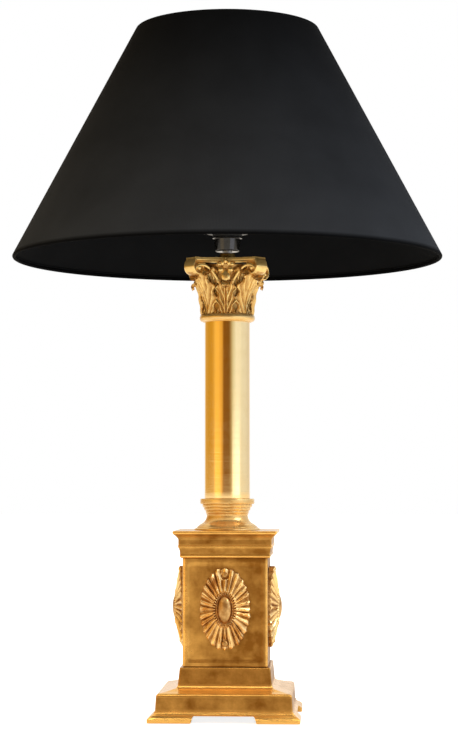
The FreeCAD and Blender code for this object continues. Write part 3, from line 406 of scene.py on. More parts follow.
def rosette_height(r, t, petal, chance):
    """Height of the casting over the panel. r goes from 0 in the middle to 1 at the rim and
    petal counts round. The petals fall from the ring to a rim that is lower at the foot. Each
    has a sharp ridge and falls from it by the power 0.7 of the distance into a valley with a
    fine rib in it; a beaded ring, a rope and a domed boss stand inside."""
    x = r * rosette_width * np.sin(t)
    y = r * rosette_length * np.cos(t)
    ring = np.hypot(x / ring_width, y / ring_length)
    boss = np.hypot(x / boss_width, y / boss_length)
    ring_share = 1 / np.hypot(rosette_width * np.sin(t) / ring_width,
                              rosette_length * np.cos(t) / ring_length)
    way = np.clip((r - ring_share) / (1 - ring_share), 0, 1)
    number = np.round(petal).astype(int) % petals
    side = petal - np.round(petal)
    lean = chance[0, number] * 0.32
    up = np.cos(t)
    rim = 4.2 + np.where(up > 0, 3.0, 0.4) * up ** 2 + 0.6 * chance[1, number]
    crest = rim + (ring_top - rim) * (1 - way ** 1.3)
    fall = np.abs(np.clip(2 * side + lean * way, -1, 1))
    depth = (0.8 + 2.4 * np.sin(0.85 * np.pi * way)) * (1 + 0.3 * chance[2, number])
    rib = np.exp(-((1 - fall) / 0.13) ** 2) + 0.7 * np.exp(-((fall - 0.52) / 0.10) ** 2)
    petal_top = crest - depth * fall ** 0.7 + 0.45 * rib * np.minimum(way * 4, 1)
    petal_top = np.maximum(petal_top, 1.0) - 0.6 * np.clip((way - 0.9) / 0.1, 0, 1) ** 2
    bead = np.cos(t * beads / 2) ** 2
    band = np.exp(-((ring - 0.98) / 0.13) ** 4)
    inner = np.exp(-((boss - 1.2) / 0.13) ** 4)
    height = np.where(ring < 1, 8.8, petal_top)
    height = height + (9.6 + 2.0 * bead - height) * band
    height = height + (10.4 + 0.6 * np.cos(t * 60) - height) * inner
    dome = np.sqrt(np.clip(1 - boss ** 2, 0, 1))
    height = np.where(boss < 1, 9.4 + (boss_top - 9.4) * dome, height)
    pin = np.hypot(x, np.abs(y) - pin_offset)
    seat = np.clip((pin - 3.6) / 0.6, 0, 1)
    return height * seat + np.minimum(height, pin_seat) * (1 - seat)


dice = np.random.default_rng(11)
petal_chance = dice.uniform(-1, 1, (3, petals))
rim_angle, rim_petal = oval_stations(petals, 18)
reach = np.concatenate((np.linspace(0, 0.2, 8), np.linspace(0.2, 0.5, 34)[1:],
                        np.linspace(0.5, 1, 40)[1:]))[:, None]
rim_side = np.abs(rim_petal - np.round(rim_petal))
rim_number = np.round(rim_petal).astype(int) % petals
scallop = 1 - 0.045 * (2 * rim_side) ** 0.8 + 0.012 * petal_chance[0, rim_number]
scallop = 1 - (1 - scallop / scallop.max()) * np.clip((reach - 0.4) / 0.6, 0, 1)
rosette_top = rosette_height(reach, rim_angle[None], rim_petal[None], petal_chance)
rosette_x = reach * scallop * rosette_width * np.sin(rim_angle)
rosette_y = reach * scallop * rosette_length * np.cos(rim_angle)
top = np.stack((rosette_x, rosette_y, rosette_top), -1)
drop = np.array([0.97, 0.75, 0.4, 0.1])[:, None, None]
edge = top[-1:] * np.array([1, 1, 0]) + np.array([0, 0, 1]) * top[-1:, :, 2:] * drop
shrink = np.array([0.9, 0.4, 0.0])[:, None, None]
back = top[-1:] * np.array([1, 1, 0]) * shrink + np.array([0, 0, 0.05])
rosette_grid = np.concatenate((top, edge, back))
standing = np.stack((rosette_grid[..., 0], -rosette_seat - rosette_grid[..., 2],
                     rosette_middle + rosette_grid[..., 1]), -1)
smooth_top = (np.roll(rosette_top, 4, 1) + np.roll(rosette_top, -4, 1)
              + np.roll(rosette_top, 9, 1) + np.roll(rosette_top, -9, 1)) / 4
raised = np.clip(0.56 + 0.6 * (rosette_top - smooth_top), 0.08, 1)
raised = np.where(np.hypot(rosette_x / boss_width, rosette_y / boss_length) < 1, 0.3, raised)
rosette_wear = np.concatenate((raised, np.full((7, raised.shape[1]), 0.3)))
chased_brass = brass("chased cast brass", (1.0, 0.68, 0.28), (0.30, 0.11, 0.012), 0.17, 0.42,
                     cloud=160, mark=None, brush=(300, 300, 300), grain=0.12)
for side_name, grid in zip(("front", "right", "back", "left"), quarters(standing)):
    rosette = surface("rosette_casting_" + side_name, grid, along=False, wear_and_painted_light=rosette_wear)
    rosette.data.materials.append(chased_brass)
    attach(rosette, "lamp")
    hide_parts("rosette_" + side_name)
pin_brass = brass("old pin brass", (0.72, 0.42, 0.13), (0.30, 0.14, 0.04), 0.28, 0.42,
                  cloud=300, mark=0.45, brush=(800, 800, 800), grain=0.05)
finish_nodes(pin_brass, "rosette_pins", "rosette_nuts")


# Cornice: a square cast cap on the die with a bead, a fillet and a rounded top slab, filed
# along its length so that it carries long straight scratches.

cornice_top = 191.7
cornice_outline = moulding([
    (44.6, 164.0), (46.2, 167.4, 0.9), (47.5, 174.6, -0.5), (48.0, 174.6), (48.0, 177.0),
    (47.7, 177.0), (47.7, 183.0), (52.8, 188.5, -0.5), (52.8, cornice_top, 0.5), (10, cornice_top),
    (10, 188.7), (37.45, 188.7), (37.45, 161.5), (40.45, 161.5), (40.45, 164.0)],
    soft=0.45, step=1.5)
cornice_points = square_loop(cornice_outline, 1.4, np.linspace(-36, 36, 25))
cornice_wear = np.interp(cornice_outline[:, 1], [164, 165, 168, 170, 174, 175, 177, 178, 188, 189],
                         [0.3, 0.55, 0.4, 0.16, 0.18, 0.42, 0.42, 0.2, 0.26, 0.8])
cornice_wear = (cornice_wear + 0.45 * arris(cornice_outline, 0.9))[:, None]
cornice = surface("cornice_casting", cornice_points, wear_and_painted_light=cornice_wear)
cornice.data.materials.append(waxed_brass)
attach(cornice, "lamp")
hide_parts("pedestal_cornice")


# Foot of the column: turned from a brass casting, with a hollow curve up to a throat and three
# rings that step out to a flat rim. It is polished and lacquered.

def turned(name, outline, wear_and_painted_light=0.7, segments=288, along=True):
    """Turn an outline of (radius, height) points about the upright axis: (r cos a, r sin a, z)."""
    angle = np.linspace(0, 2 * np.pi, segments, endpoint=False)
    radius, height = outline[:, :1], outline[:, 1:]
    grid = np.stack((radius * np.cos(angle), radius * np.sin(angle),
                     np.repeat(height, segments, axis=1)), -1)
    return surface(name, grid, along=along, wear_and_painted_light=wear_and_painted_light)


foot = 191.7
base_outline = moulding([
    (5.3, foot), (34.2, foot), (34.2, foot + 1.6), (31.4, foot + 3.4, -0.5),
    (28.0, foot + 6.2), (21.5, foot + 14.8, -1.6), (21.8, 208.5), (22.4, 211.9, 0.35),
    (23.5, 211.9), (24.1, 215.2, 0.35), (25.2, 215.2), (25.8, 218.6, 0.35), (27.4, 218.6),
    (28.2, 219.8, 0.2), (28.2, 223.4), (27.4, 224.2, 0.2), (21.95, 224.2), (21.95, 230.2),
    (18.3, 230.2), (18.3, 194.9), (5.3, 194.9)], soft=0.35, step=1.5)
satin_brass = brass("satin turned brass", (0.93, 0.64, 0.25), (0.60, 0.30, 0.06), 0.20, 0.36,
                    cloud=70, mark=None, brush=(20, 20, 1400), grain=0.06, metal=0.62)
base = turned("column_foot", base_outline,
              wear_and_painted_light=0.55 + 0.4 * arris(base_outline, 0.8)[:, None])
base.data.materials.append(satin_brass)
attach(base, "lamp")
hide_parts("column_base")


# Column: a plain brass tube, polished to a mirror, slipped over the spigots of the foot and
# the neck ring.

shaft_outline = moulding([(23.7, 224.2), (23.7, 408.8), (22.1, 408.8), (22.1, 224.2)],
                         soft=0.3, step=8)
shaft = turned("column_tube", shaft_outline, wear_and_painted_light=0.85, segments=360)
polished_brass = brass("polished lacquered brass", (0.96, 0.69, 0.32), (0.88, 0.60, 0.25),
                       0.12, 0.24, cloud=70, mark=None, brush=(20, 20, 1400), grain=0.05,
                       lacquer=0.15, metal=1.0)
shaft.data.materials.append(polished_brass)
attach(shaft, "lamp")
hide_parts("column_shaft")


# Neck ring: a half round turned from brass, between the tube and the capital. One spigot goes
# down into the tube and a short one up into the bell, so that the three stay in line.

neck_outline = moulding([
    (18.95, 402.8), (21.95, 402.8), (21.95, 408.8), (25.1, 408.8), (27.7, 410.0, -0.2),
    (28.6, 414.8, 0.8), (27.3, 416.8, 0.3), (20.45, 416.8), (20.45, 419.8), (18.95, 419.8)],
    soft=0.3, step=1.2)
neck = turned("neck_moulding", neck_outline, wear_and_painted_light=0.75)
neck.data.materials.append(satin_brass)
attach(neck, "lamp")
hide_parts("neck_ring")


# Capital: one lost-wax casting of a bell, eight leaves, four corner scrolls, berries and a
# hollow-sided top slab, polished on the high places and left brown between them.

root, slab_top = 416.8, 473.8
chased_gold = brass("chased polished brass", (0.97, 0.67, 0.23), (0.42, 0.18, 0.025), 0.18, 0.40,
                    cloud=220, mark=None, brush=(350, 350, 350), grain=0.10, lacquer=0.15,
                    metal=0.64)


def smooth_line(points, count):
    """A smooth line through points by cubic Hermite steps whose slopes are half the way between
    the neighbours of each point, read at count even places."""
    points = np.asarray(points, float)
    padded = np.vstack((2 * points[0] - points[1], points, 2 * points[-1] - points[-2]))
    slope = (padded[2:] - padded[:-2]) / 2
    place = np.linspace(0, len(points) - 1, count)
    k = np.minimum(place.astype(int), len(points) - 2)
    t = (place - k)[:, None]
    return ((2 * t ** 3 - 3 * t ** 2 + 1) * points[k] + (t ** 3 - 2 * t ** 2 + t) * slope[k]
            + (3 * t ** 2 - 2 * t ** 3) * points[k + 1] + (t ** 3 - t ** 2) * slope[k + 1])


bell_outline = np.vstack((smooth_line([(26.2, 0), (25.0, 6), (24.6, 17.5), (25.0, 27.5),
                                       (26.6, 37.5), (29.6, 45.5), (31, 50.4)], 50),
                          [(5.3, 50.4), (5.3, 47.4), (20.6, 41.5), (20.6, 0)])) + [0, root]
bell = turned("capital_bell", bell_outline, wear_and_painted_light=0.25, segments=128)
bell.data.materials.append(chased_gold)
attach(bell, "lamp")


def leaf(profile, widths, azimuth, ribs=4.5, sweep=2.1, relief=1.4, thick=1.3, lobe=0.20,
         drop=2.4):
    """A lobed leaf. v runs up the profile of (radius, height over the root) points and u from
    edge to edge. The phase ribs * v - sweep * |u| gives the folds: its cosine raises the blade,
    and at the edge it also widens it, so that each fold ends in a lobe. A groove between two
    ribs runs up the middle. The blade bends round the axis by u * width / radius, drops back
    towards its edges, and has a back skin thick behind it."""
    rows, columns = 90, 61
    line = smooth_line(profile, rows) + [0, root]
    v = np.linspace(0, 1, rows)[:, None]
    u = np.linspace(-1, 1, columns)[None]
    half = np.interp(v[:, 0], np.linspace(0, 1, len(widths)), widths)[:, None]
    fold = np.cos(2 * np.pi * (ribs * v - sweep * np.abs(u) ** 1.1))
    edge_fold = np.cos(2 * np.pi * (ribs * v - sweep))
    taper = np.clip((1 - v) / 0.10, 0, 1) ** 0.5
    across = u * half * taper * (1 + lobe * edge_fold * np.abs(u) ** 3)
    rib = np.exp(-((np.abs(u) - 0.14) / 0.08) ** 2) - 0.9 * np.exp(-(u / 0.07) ** 2)
    lift = relief * (0.55 * fold * np.minimum(np.abs(u) * 3, 1) + 0.7 * rib) * taper
    sag = -drop * np.abs(u) ** 2.2 * np.clip(v * 3, 0.25, 1)
    slope = np.gradient(line, axis=0)
    slope /= np.linalg.norm(slope, axis=1, keepdims=True)
    out_r, out_z = slope[:, 1:], -slope[:, :1]

    def skin(offset):
        radius = line[:, :1] + out_r * offset
        height = line[:, 1:] + out_z * offset
        turn = across / np.maximum(radius, 20) + azimuth
        return np.stack((radius * np.sin(turn), -radius * np.cos(turn),
                         np.broadcast_to(height, turn.shape)), -1)

    front, behind = skin(lift + sag), skin(lift * 0.3 + sag - thick)
    grid = np.concatenate((front, behind[:, ::-1]), axis=1)
    first = grid[:1].mean(axis=1, keepdims=True).repeat(grid.shape[1], axis=1)
    last = grid[-1:].mean(axis=1, keepdims=True).repeat(grid.shape[1], axis=1)
    # The rise of 0.3 v squared towards the top of each leaf is painted light that makes up for the
    # lamp shade's shadow on the upper capital. The rise with the folds is real polish on the raised
    # parts.
    wear_and_painted_light = np.clip(0.42 + 0.5 * lift / relief + 0.3 * v ** 2, 0.04, 1)
    wear_and_painted_light = np.concatenate((wear_and_painted_light, np.full_like(wear_and_painted_light, 0.25)), axis=1)
    wear_and_painted_light = np.concatenate((wear_and_painted_light[:1], wear_and_painted_light, wear_and_painted_light[-1:]))
    return np.concatenate((first, grid, last)), wear_and_painted_light


face_leaf, face_leaf_polish_and_painted_light = leaf(
    [(26.8, -0.2), (27.8, 6.5), (28.8, 13.5), (29.8, 20.5), (31.2, 26.5), (33.6, 30.2),
     (35.4, 30.2), (35.8, 28.2), (34.8, 26.4)],
    [7.4, 8.8, 9.4, 9.6, 9.2, 8.4, 7.0, 5.0, 3.4], 0, drop=1.0)
leaves = surface("capital_face_leaves", quarters(face_leaf), along=False, wear_and_painted_light=face_leaf_polish_and_painted_light)
corner_leaf, corner_leaf_polish_and_painted_light = leaf(
    [(26.6, -0.2), (27.2, 7.0), (28.8, 14.0), (31.6, 21.0), (35.4, 28.0), (39.4, 34.0),
     (42.2, 36.4), (43.8, 35.6), (43.4, 33.4)],
    [8.0, 9.2, 10.2, 11.0, 11.0, 9.8, 8.0, 5.6, 3.4], np.pi / 4)
corner_leaves = surface("capital_corner_leaves", quarters(corner_leaf), along=False,
                        wear_and_painted_light=corner_leaf_polish_and_painted_light)
side_leaf, side_leaf_polish_and_painted_light = leaf(
    [(24.0, 20.0), (24.8, 25.5), (26.6, 31.0), (29.6, 36.5), (33.6, 41.0), (36.6, 43.0),
     (38.0, 42.0), (37.6, 40.2)],
    [3.0, 4.2, 5.2, 6.0, 6.0, 5.2, 4.0, 2.8], np.pi * 0.155, ribs=3.5, relief=1.0)
mirror = np.array([-1.0, 1.0, 1.0])
side_leaves = surface("capital_side_leaves", quarters(side_leaf), along=False, wear_and_painted_light=side_leaf_polish_and_painted_light)
side_leaves_left = surface("capital_side_leaves_left", quarters(side_leaf * mirror), along=False,
                           wear_and_painted_light=side_leaf_polish_and_painted_light)

eye_out, eye_up, scroll_radius, scroll_width = 44.6, root + 46.4, 10.2, 15.5


def band(path, side_way, width, thick, columns=28):
    """A closed band carried along a path. Its section is a flattened loop, width along side_way
    and thick across it, whose outer face is hollowed between two raised rims."""
    way = np.gradient(path, axis=0)
    way /= np.linalg.norm(way, axis=1, keepdims=True)
    side = side_way - np.sum(side_way * way, axis=1, keepdims=True) * way
    side /= np.linalg.norm(side, axis=1, keepdims=True)
    out = np.cross(side, way)
    angle = np.linspace(0, 2 * np.pi, columns, endpoint=False)
    across = np.sign(np.cos(angle)) * np.abs(np.cos(angle)) ** 0.5
    up = np.sign(np.sin(angle)) * np.abs(np.sin(angle)) ** 0.6
    rim = 0.75 + 0.45 * np.abs(across) ** 5
    up = np.where(up > 0, up * rim, up)
    half_width, half_thick = np.asarray(width)[:, None] / 2, np.asarray(thick)[:, None] / 2
    grid = (path[:, None] + side[:, None] * (half_width * across)[..., None]
            + out[:, None] * (half_thick * up)[..., None])
    first = grid[:1].mean(axis=1, keepdims=True).repeat(columns, axis=1)
    last = grid[-1:].mean(axis=1, keepdims=True).repeat(columns, axis=1)
    return np.concatenate((first, grid, last))


def in_diagonal(out, across, up):
    """A point of the upright plane through the front right corner: out along the diagonal,
    across it to the right, and up."""
    ways = np.array([[0.7071, -0.7071, 0], [0.7071, 0.7071, 0], [0, 0, 1.0]])
    return np.stack((out, across, up), -1) @ ways


stem = smooth_line([(24.5, 22), (28.5, 33), (32.5, 43), (37.5, 52.5), (44.6, 56.6)], 40) + [0, root]
wind = np.linspace(0, 4.3 * np.pi, 150)[1:]
curl_radius = scroll_radius * np.exp(-0.15 * wind)
curl_line = np.stack((eye_out + curl_radius * np.sin(wind),
                      eye_up + curl_radius * np.cos(wind)), -1)
scroll_line = np.vstack((stem, curl_line))
scroll_path = in_diagonal(scroll_line[:, 0], np.zeros(len(scroll_line)), scroll_line[:, 1])
scroll_wide = np.concatenate((np.linspace(5, scroll_width, 40), np.full(149, scroll_width)))
scroll_thick = np.concatenate((np.linspace(1.6, 2.0, 40), 0.30 * curl_radius + 0.25))
scroll_side = np.broadcast_to(np.array([0.7071, 0.7071, 0.0]), scroll_path.shape)
scroll_grid = band(scroll_path, scroll_side, scroll_wide, scroll_thick)
scrolls = surface("capital_scrolls", quarters(scroll_grid), along=False, wear_and_painted_light=1.0)

web_turn = np.linspace(0, 2 * np.pi, 48, endpoint=False)
web_profile = np.array([(0, -8.6), (1.5, -8.5), (2.4, -7.8), (2.7, -6.4), (3.0, -5.4),
                        (8.0, -5.2), (8.6, -4.2), (8.6, 4.2), (8.0, 5.2), (3.0, 5.4), (2.7, 6.4),
                        (2.4, 7.8), (1.5, 8.5), (0, 8.6)])
web = in_diagonal(eye_out + web_profile[:, :1] * np.cos(web_turn),
                  np.repeat(web_profile[:, 1:], 48, axis=1),
                  eye_up + web_profile[:, :1] * np.sin(web_turn))
web_wear = np.array([0.9, 0.9, 0.8, 0.4, 0.3, 0.3, 0.3, 0.3, 0.3, 0.3, 0.4, 0.8, 0.9, 0.9])[:, None]
scroll_eyes = surface("capital_scroll_eyes", quarters(web), along=False, wear_and_painted_light=web_wear)

stalk_line = smooth_line([(6.5, -30.0, 30.5), (10.0, -31.0, 37.0), (14.5, -32.2, 43.5),
                          (20.0, -34.0, 48.0), (26.0, -36.0, 49.0), (31.0, -37.6, 45.6),
                          (31.5, -38.0, 41.0)], 80) + [0, 0, root]
stalk_side = np.broadcast_to(np.array([0.15, -1.0, 0.15]), stalk_line.shape)
stalk = band(stalk_line, stalk_side, np.linspace(3.0, 5.0, 80), np.linspace(2.4, 3.4, 80), 20)
stalks = surface("capital_stalks", quarters(stalk), along=False, wear_and_painted_light=0.95)
stalks_left = surface("capital_stalks_left", quarters(stalk * mirror), along=False, wear_and_painted_light=0.95)

slab_outline = moulding([(-3.0, 468.6), (-0.3, 470.8, -0.4), (0, 471.0), (0, slab_top),
                         (-8, slab_top), (-8, 468.6)], soft=0.3, step=1.0)
slab_half, slab_cut, slab_hollow = 41.0, 10.5, 8.6
run = np.linspace(-1, 1, 49)
side_x = run * (slab_half - slab_cut)
side_y = -(slab_half - slab_hollow * (1 - run ** 2))
cut = np.linspace(0, 1, 7)[1:-1]
plan = np.stack((np.concatenate((side_x, slab_half - slab_cut + slab_cut * cut)),
                 np.concatenate((side_y, -slab_half + slab_cut * cut))), -1)
plan = np.concatenate([turn[..., :2] for turn in quarters(np.column_stack((plan, plan[:, 0] * 0)))])
plan_way = np.roll(plan, -1, axis=0) - np.roll(plan, 1, axis=0)
plan_out = np.stack((plan_way[:, 1], -plan_way[:, 0]), -1)
plan_out /= np.linalg.norm(plan_out, axis=1, keepdims=True)
slab_grid = plan[None] + plan_out[None] * slab_outline[:, :1, None]
slab_grid = np.concatenate((slab_grid, np.broadcast_to(slab_outline[:, 1:, None],
                                                       slab_grid.shape[:2] + (1,))), axis=2)
slab = surface("capital_slab_edge", slab_grid, wear_and_painted_light=0.75 + 0.3 * arris(slab_outline, 0.7)[:, None])
slab_top_grid = np.stack((slab_grid[:1] * [1, 1, 0] + [0, 0, slab_top - 0.1],
                          slab_grid[:1] * [0.15, 0.15, 0] + [0, 0, slab_top - 0.1],
                          slab_grid[:1] * [0.15, 0.15, 0] + [0, 0, 468.7],
                          slab_grid[:1] * [1, 1, 0] + [0, 0, 468.7]))[:, 0]
slab_top_grid[..., :2] *= 0.97
slab_core = surface("capital_slab", slab_top_grid, wear_and_painted_light=0.5)

ball_u = np.linspace(0, 2 * np.pi, 24, endpoint=False)[None]
ball_v = np.linspace(-np.pi / 2, np.pi / 2, 15)[:, None]


def ball(centre, sizes):
    """Points of an egg about a centre: cosines and sines times its three sizes."""
    return np.stack((centre[0] + sizes[0] * np.cos(ball_v) * np.cos(ball_u),
                     centre[1] + sizes[1] * np.cos(ball_v) * np.sin(ball_u),
                     centre[2] + sizes[2] * np.sin(ball_v) * np.ones_like(ball_u)), -1)


lumps = [ball((s * 5.2, -31.6, root + 44.6), (3.2, 3.2, 3.2)) for s in (-1, 1)]
lumps += [ball((s * 3.2, -33.4, root + 51.6), (2.0, 2.0, 3.4)) for s in (-1, 1)]
lumps += [ball((s * 6.4, -33.0, root + 50.0), (2.8, 1.8, 1.8)) for s in (-1, 1)]
lumps += [ball((0, -33.8, root + 53.4), (1.8, 2.2, 3.0)),
          ball((0, -29.6, root + 38.0), (5.4, 3.0, 8.0))]
berries = surface("capital_berries", [q for lump in lumps for q in quarters(lump)], along=False,
                  wear_and_painted_light=0.9)
for piece in (leaves, corner_leaves, side_leaves, side_leaves_left, scrolls, scroll_eyes, stalks,
              stalks_left, slab, slab_core, berries):
    piece.data.materials.append(chased_gold)
    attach(piece, "lamp")
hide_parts("capital")


# Locknut: a round nut in two steps, turned bright from brass bar. It screws down the threaded
# tube on top of the capital and holds the stack together from above.

finish_nodes(turned_brass, "locknut")


# Lampholder: a gloss black moulded cap and threaded skirt, a glazed ceramic block, a brass
# screw shell, a contact strip and two terminal screws, as wired inside every such holder.

def moulded(name, colour, roughness, ripple):
    """A moulded or coated surface: one noise makes its tone and gloss slightly uneven and
    gives its ripple."""
    material, tree, shader = new_finish(name)
    shader.inputs["IOR"].default_value = 1.55
    place = tree.nodes.new("ShaderNodeTexCoord").outputs["Object"]
    uneven = clouds(tree, place, 260, 6)
    tint = tree.nodes.new("ShaderNodeValToRGB")
    tint.color_ramp.elements[0].color = (*[0.7 * c for c in colour], 1)
    tint.color_ramp.elements[1].color = (*[1.3 * c for c in colour], 1)
    tree.links.new(uneven, tint.inputs["Fac"])
    tree.links.new(tint.outputs["Color"], shader.inputs["Base Color"])
    gloss = spread(tree, uneven, roughness - 0.06, roughness + 0.06)
    tree.links.new(gloss, shader.inputs["Roughness"])
    emboss(tree, shader, uneven, ripple, 0.0004)
    return material


bakelite = moulded("black bakelite", (0.008, 0.008, 0.008), 0.12, 0.03)
holder_outline = moulding([
    (5.05, 483.3), (11.3, 483.3), (12.5, 484.5, 0.3), (14.1, 496.3), (15.7, 497.1, -0.2),
    (15.7, 498.8), (12.15, 498.8), (12.15, 490.5), (10.5, 489.3), (5.05, 489.3)],
    soft=0.35, step=1.5)
cap = turned("holder_cap_moulding", holder_outline, segments=96)
cap.data.materials.append(bakelite)
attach(cap, "lamp")
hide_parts("holder_cap")

thread_height = np.arange(499.5, 531.7, 0.25)
thread_radius = 13.75 + 0.25 * np.cos(2 * np.pi * (thread_height - 499.5) / 2.0)
skirt_outline = np.vstack((
    [(10.8, 490.8), (12.0, 490.8), (12.0, 498.8), (13.6, 498.8)],
    np.column_stack((thread_radius, thread_height)), [(13.0, 532.8), (10.8, 532.8)]))
skirt = turned("holder_skirt_moulding", skirt_outline, segments=96)
skirt.data.materials.append(bakelite)
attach(skirt, "lamp")
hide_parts("holder_skirt")

ceramic = moulded("glazed ceramic", (0.80, 0.77, 0.70), 0.20, 0.03)
finish_nodes(ceramic, "holder_insert")
sheet_brass = brass("bright sheet brass", (0.90, 0.70, 0.34), (0.66, 0.45, 0.16), 0.20, 0.32,
                    cloud=400, mark=0.6, brush=(900, 900, 200), grain=0.03)
finish_nodes(sheet_brass, "screw_shell", "contact_spring")
finish_nodes(zinc, "terminal_screws")


# Rings that carry the shade: a satin black adapter on the holder, and a notched clamp ring
# that screws down on the skirt over the ring of the shade frame.

satin_black = moulded("satin black plastic", (0.020, 0.020, 0.020), 0.42, 0.12)
finish_nodes(satin_black, "reducer_ring", "clamp_ring")


# Shade frame: a flat ring, three bent arms and two hoops of steel wire, spot welded and then
# powder coated white. The ring sits on the holder, and the hoops carry the cloth.

powder = moulded("white powder coat", (0.62, 0.61, 0.58), 0.45, 0.25)
finish_nodes(powder, "shade_fitter_ring", "shade_arms", "shade_bottom_wire", "shade_top_wire")


# Shade cover: black woven cloth laminated to a stiff lining, cut as an arc, joined in a cone at
# the back and rolled round both wire hoops, where the cloth is drawn over the roll.

def woven(name, greys_and_painted_light, length, thread):
    """Plain weave on the cloth's own map: two sets of threads, sine waves across each other
    that take turns to lie on top, give the bump and a slight change of tone. The greys are
    given at shares of the length from the bottom hem up the outside and down the inside, and
    they hold painted light and shade: the outside is lighter low down and darker towards the
    top, and the inside is lighter towards its bottom."""
    material, tree, shader = new_finish(name)
    shader.inputs["Specular IOR Level"].default_value = 0.02
    node = tree.nodes.new("ShaderNodeUVMap")
    node.uv_map = "weave"
    cloth = node.outputs["UV"]
    threads = []
    for axis in ("X", "Y"):
        wave = tree.nodes.new("ShaderNodeTexWave")
        wave.bands_direction = axis
        wave.inputs["Scale"].default_value = thread
        wave.inputs["Distortion"].default_value = 0.4
        wave.inputs["Detail Scale"].default_value = 3.0
        tree.links.new(cloth, wave.inputs["Vector"])
        threads.append(wave.outputs["Fac"])
    weave = maths(tree, "MULTIPLY", *threads)
    tone = maths(tree, "MULTIPLY_ADD", weave, 0.5, clouds(tree, cloth, 18, 3))
    places = tree.nodes.new("ShaderNodeSeparateXYZ")
    tree.links.new(cloth, places.inputs["Vector"])
    grey = tree.nodes.new("ShaderNodeValToRGB")
    stops = grey.color_ramp.elements
    for index, (place, value) in enumerate(greys_and_painted_light):
        stop = stops[index] if index < 2 else stops.new(place)
        stop.position = place
        # A faint blue tint in each grey offsets the warm light on the cloth.
        stop.color = (value * 0.9, value, value * 1.16, 1)
    tree.links.new(maths(tree, "DIVIDE", places.outputs["Y"], length), grey.inputs["Fac"])
    tint = tree.nodes.new("ShaderNodeMix")
    tint.data_type = "RGBA"
    tint.blend_type = "MULTIPLY"
    tint.inputs["Factor"].default_value = 0.5
    tree.links.new(grey.outputs["Color"], tint.inputs["A"])
    tree.links.new(tone, tint.inputs["B"])
    tree.links.new(tint.outputs["Result"], shader.inputs["Base Color"])
    tree.links.new(spread(tree, weave, 0.90, 0.74), shader.inputs["Roughness"])
    emboss(tree, shader, weave, 0.35, 0.0002)
    return material


hem, cloth_thick = 1.9, 0.8
low = np.array([225.0 - hem, 474.45 + hem])
high = np.array([97.0 - hem, 719.45 - hem])
slant = (high - low) / np.linalg.norm(high - low)
outwards = np.array([slant[1], -slant[0]])
lean_angle = math.atan2(outwards[1], outwards[0])
open_turn = math.acos((hem - cloth_thick) / hem)


def roll(centre, start, end):
    """Points of the hem's roll round a wire, by angle from start to end."""
    angle = np.linspace(start, end, 24)
    return centre + hem * np.stack((np.cos(angle), np.sin(angle)), -1)


slant_run = slant * np.linspace(0, 1, 60)[:, None] * np.linalg.norm(high - low)
cover_up = low + outwards * hem + slant_run
cover_down = high + outwards * (hem - cloth_thick) - slant_run
cover_down = cover_down[(np.linalg.norm(cover_down - high, axis=1) > hem)
                        & (np.linalg.norm(cover_down - low, axis=1) > hem)]
cover_outline = np.vstack((
    roll(low, lean_angle - 2 * np.pi + open_turn, lean_angle)[:-1], cover_up,
    roll(high, lean_angle, lean_angle + 2 * np.pi - open_turn)[1:], cover_down))
cover_angle = np.linspace(0, 2 * np.pi, 360, endpoint=False)
cover_grid = np.stack((cover_outline[:, :1] * np.cos(cover_angle),
                       cover_outline[:, :1] * np.sin(cover_angle),
                       np.repeat(cover_outline[:, 1:], 360, axis=1)), -1)
cover_run = np.concatenate(([0], np.cumsum(np.linalg.norm(np.diff(cover_outline, axis=0), axis=1))))
cover_map = np.stack((np.broadcast_to(cover_angle * 0.16, cover_grid.shape[:2]),
                      np.repeat(cover_run[:, None] * 0.001, 360, axis=1)), -1)
cover = surface("shade_cloth", cover_grid, weave=cover_map)
# These greys paint light and shade on the black cloth: the bottom hem dark, the outside lighter low
# down and darker towards the top, and the inside lighter towards its bottom.
cloth_greys_and_painted_light = [(0.0, 0.004), (0.018, 0.004), (0.022, 0.030), (0.14, 0.021), (0.30, 0.013),
               (0.44, 0.005), (0.50, 0.003), (0.53, 0.006), (1.0, 0.011)]
cover.data.materials.append(woven("black shade cloth", cloth_greys_and_painted_light, cover_run[-1] * 0.001, 320))
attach(cover, "shade")
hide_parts("shade_cover")


# Lamp: a tubular lamp of clear blown glass with yellow filaments. Its small screw cap is of
# bright plated brass, with a black insulator and a contact under it.

bright_cap = plated("bright lamp cap", (0.78, 0.77, 0.74), 0.22, 1500)
finish_nodes(bright_cap, "lamp_shell", "lamp_contact")
finish_nodes(bakelite, "lamp_insulator")


def clear_glass(name, roughness):
    """Clear blown glass with a faint waviness in its bump."""
    material, tree, shader = new_finish(name)
    shader.inputs["Base Color"].default_value = (0.98, 0.98, 0.97, 1)
    shader.inputs["Transmission Weight"].default_value = 1.0
    shader.inputs["IOR"].default_value = 1.45
    shader.inputs["Roughness"].default_value = roughness
    place = tree.nodes.new("ShaderNodeTexCoord").outputs["Object"]
    emboss(tree, shader, clouds(tree, place, 90), 0.05, 0.0005)
    return material


finish_nodes(clear_glass("clear lamp glass", 0.01), "lamp_glass", "lamp_stem")
phosphor = moulded("yellow phosphor", (0.80, 0.52, 0.08), 0.55, 0.3)
finish_nodes(phosphor, "lamp_filaments")


# The studio: a pale table, six softboxes, and a room that is warm on the left, dark behind the
# camera and white on the right. The camera, glass and, at the back, metal see it plain white.

table_glow, mirrored_share = 0.76, 0.22


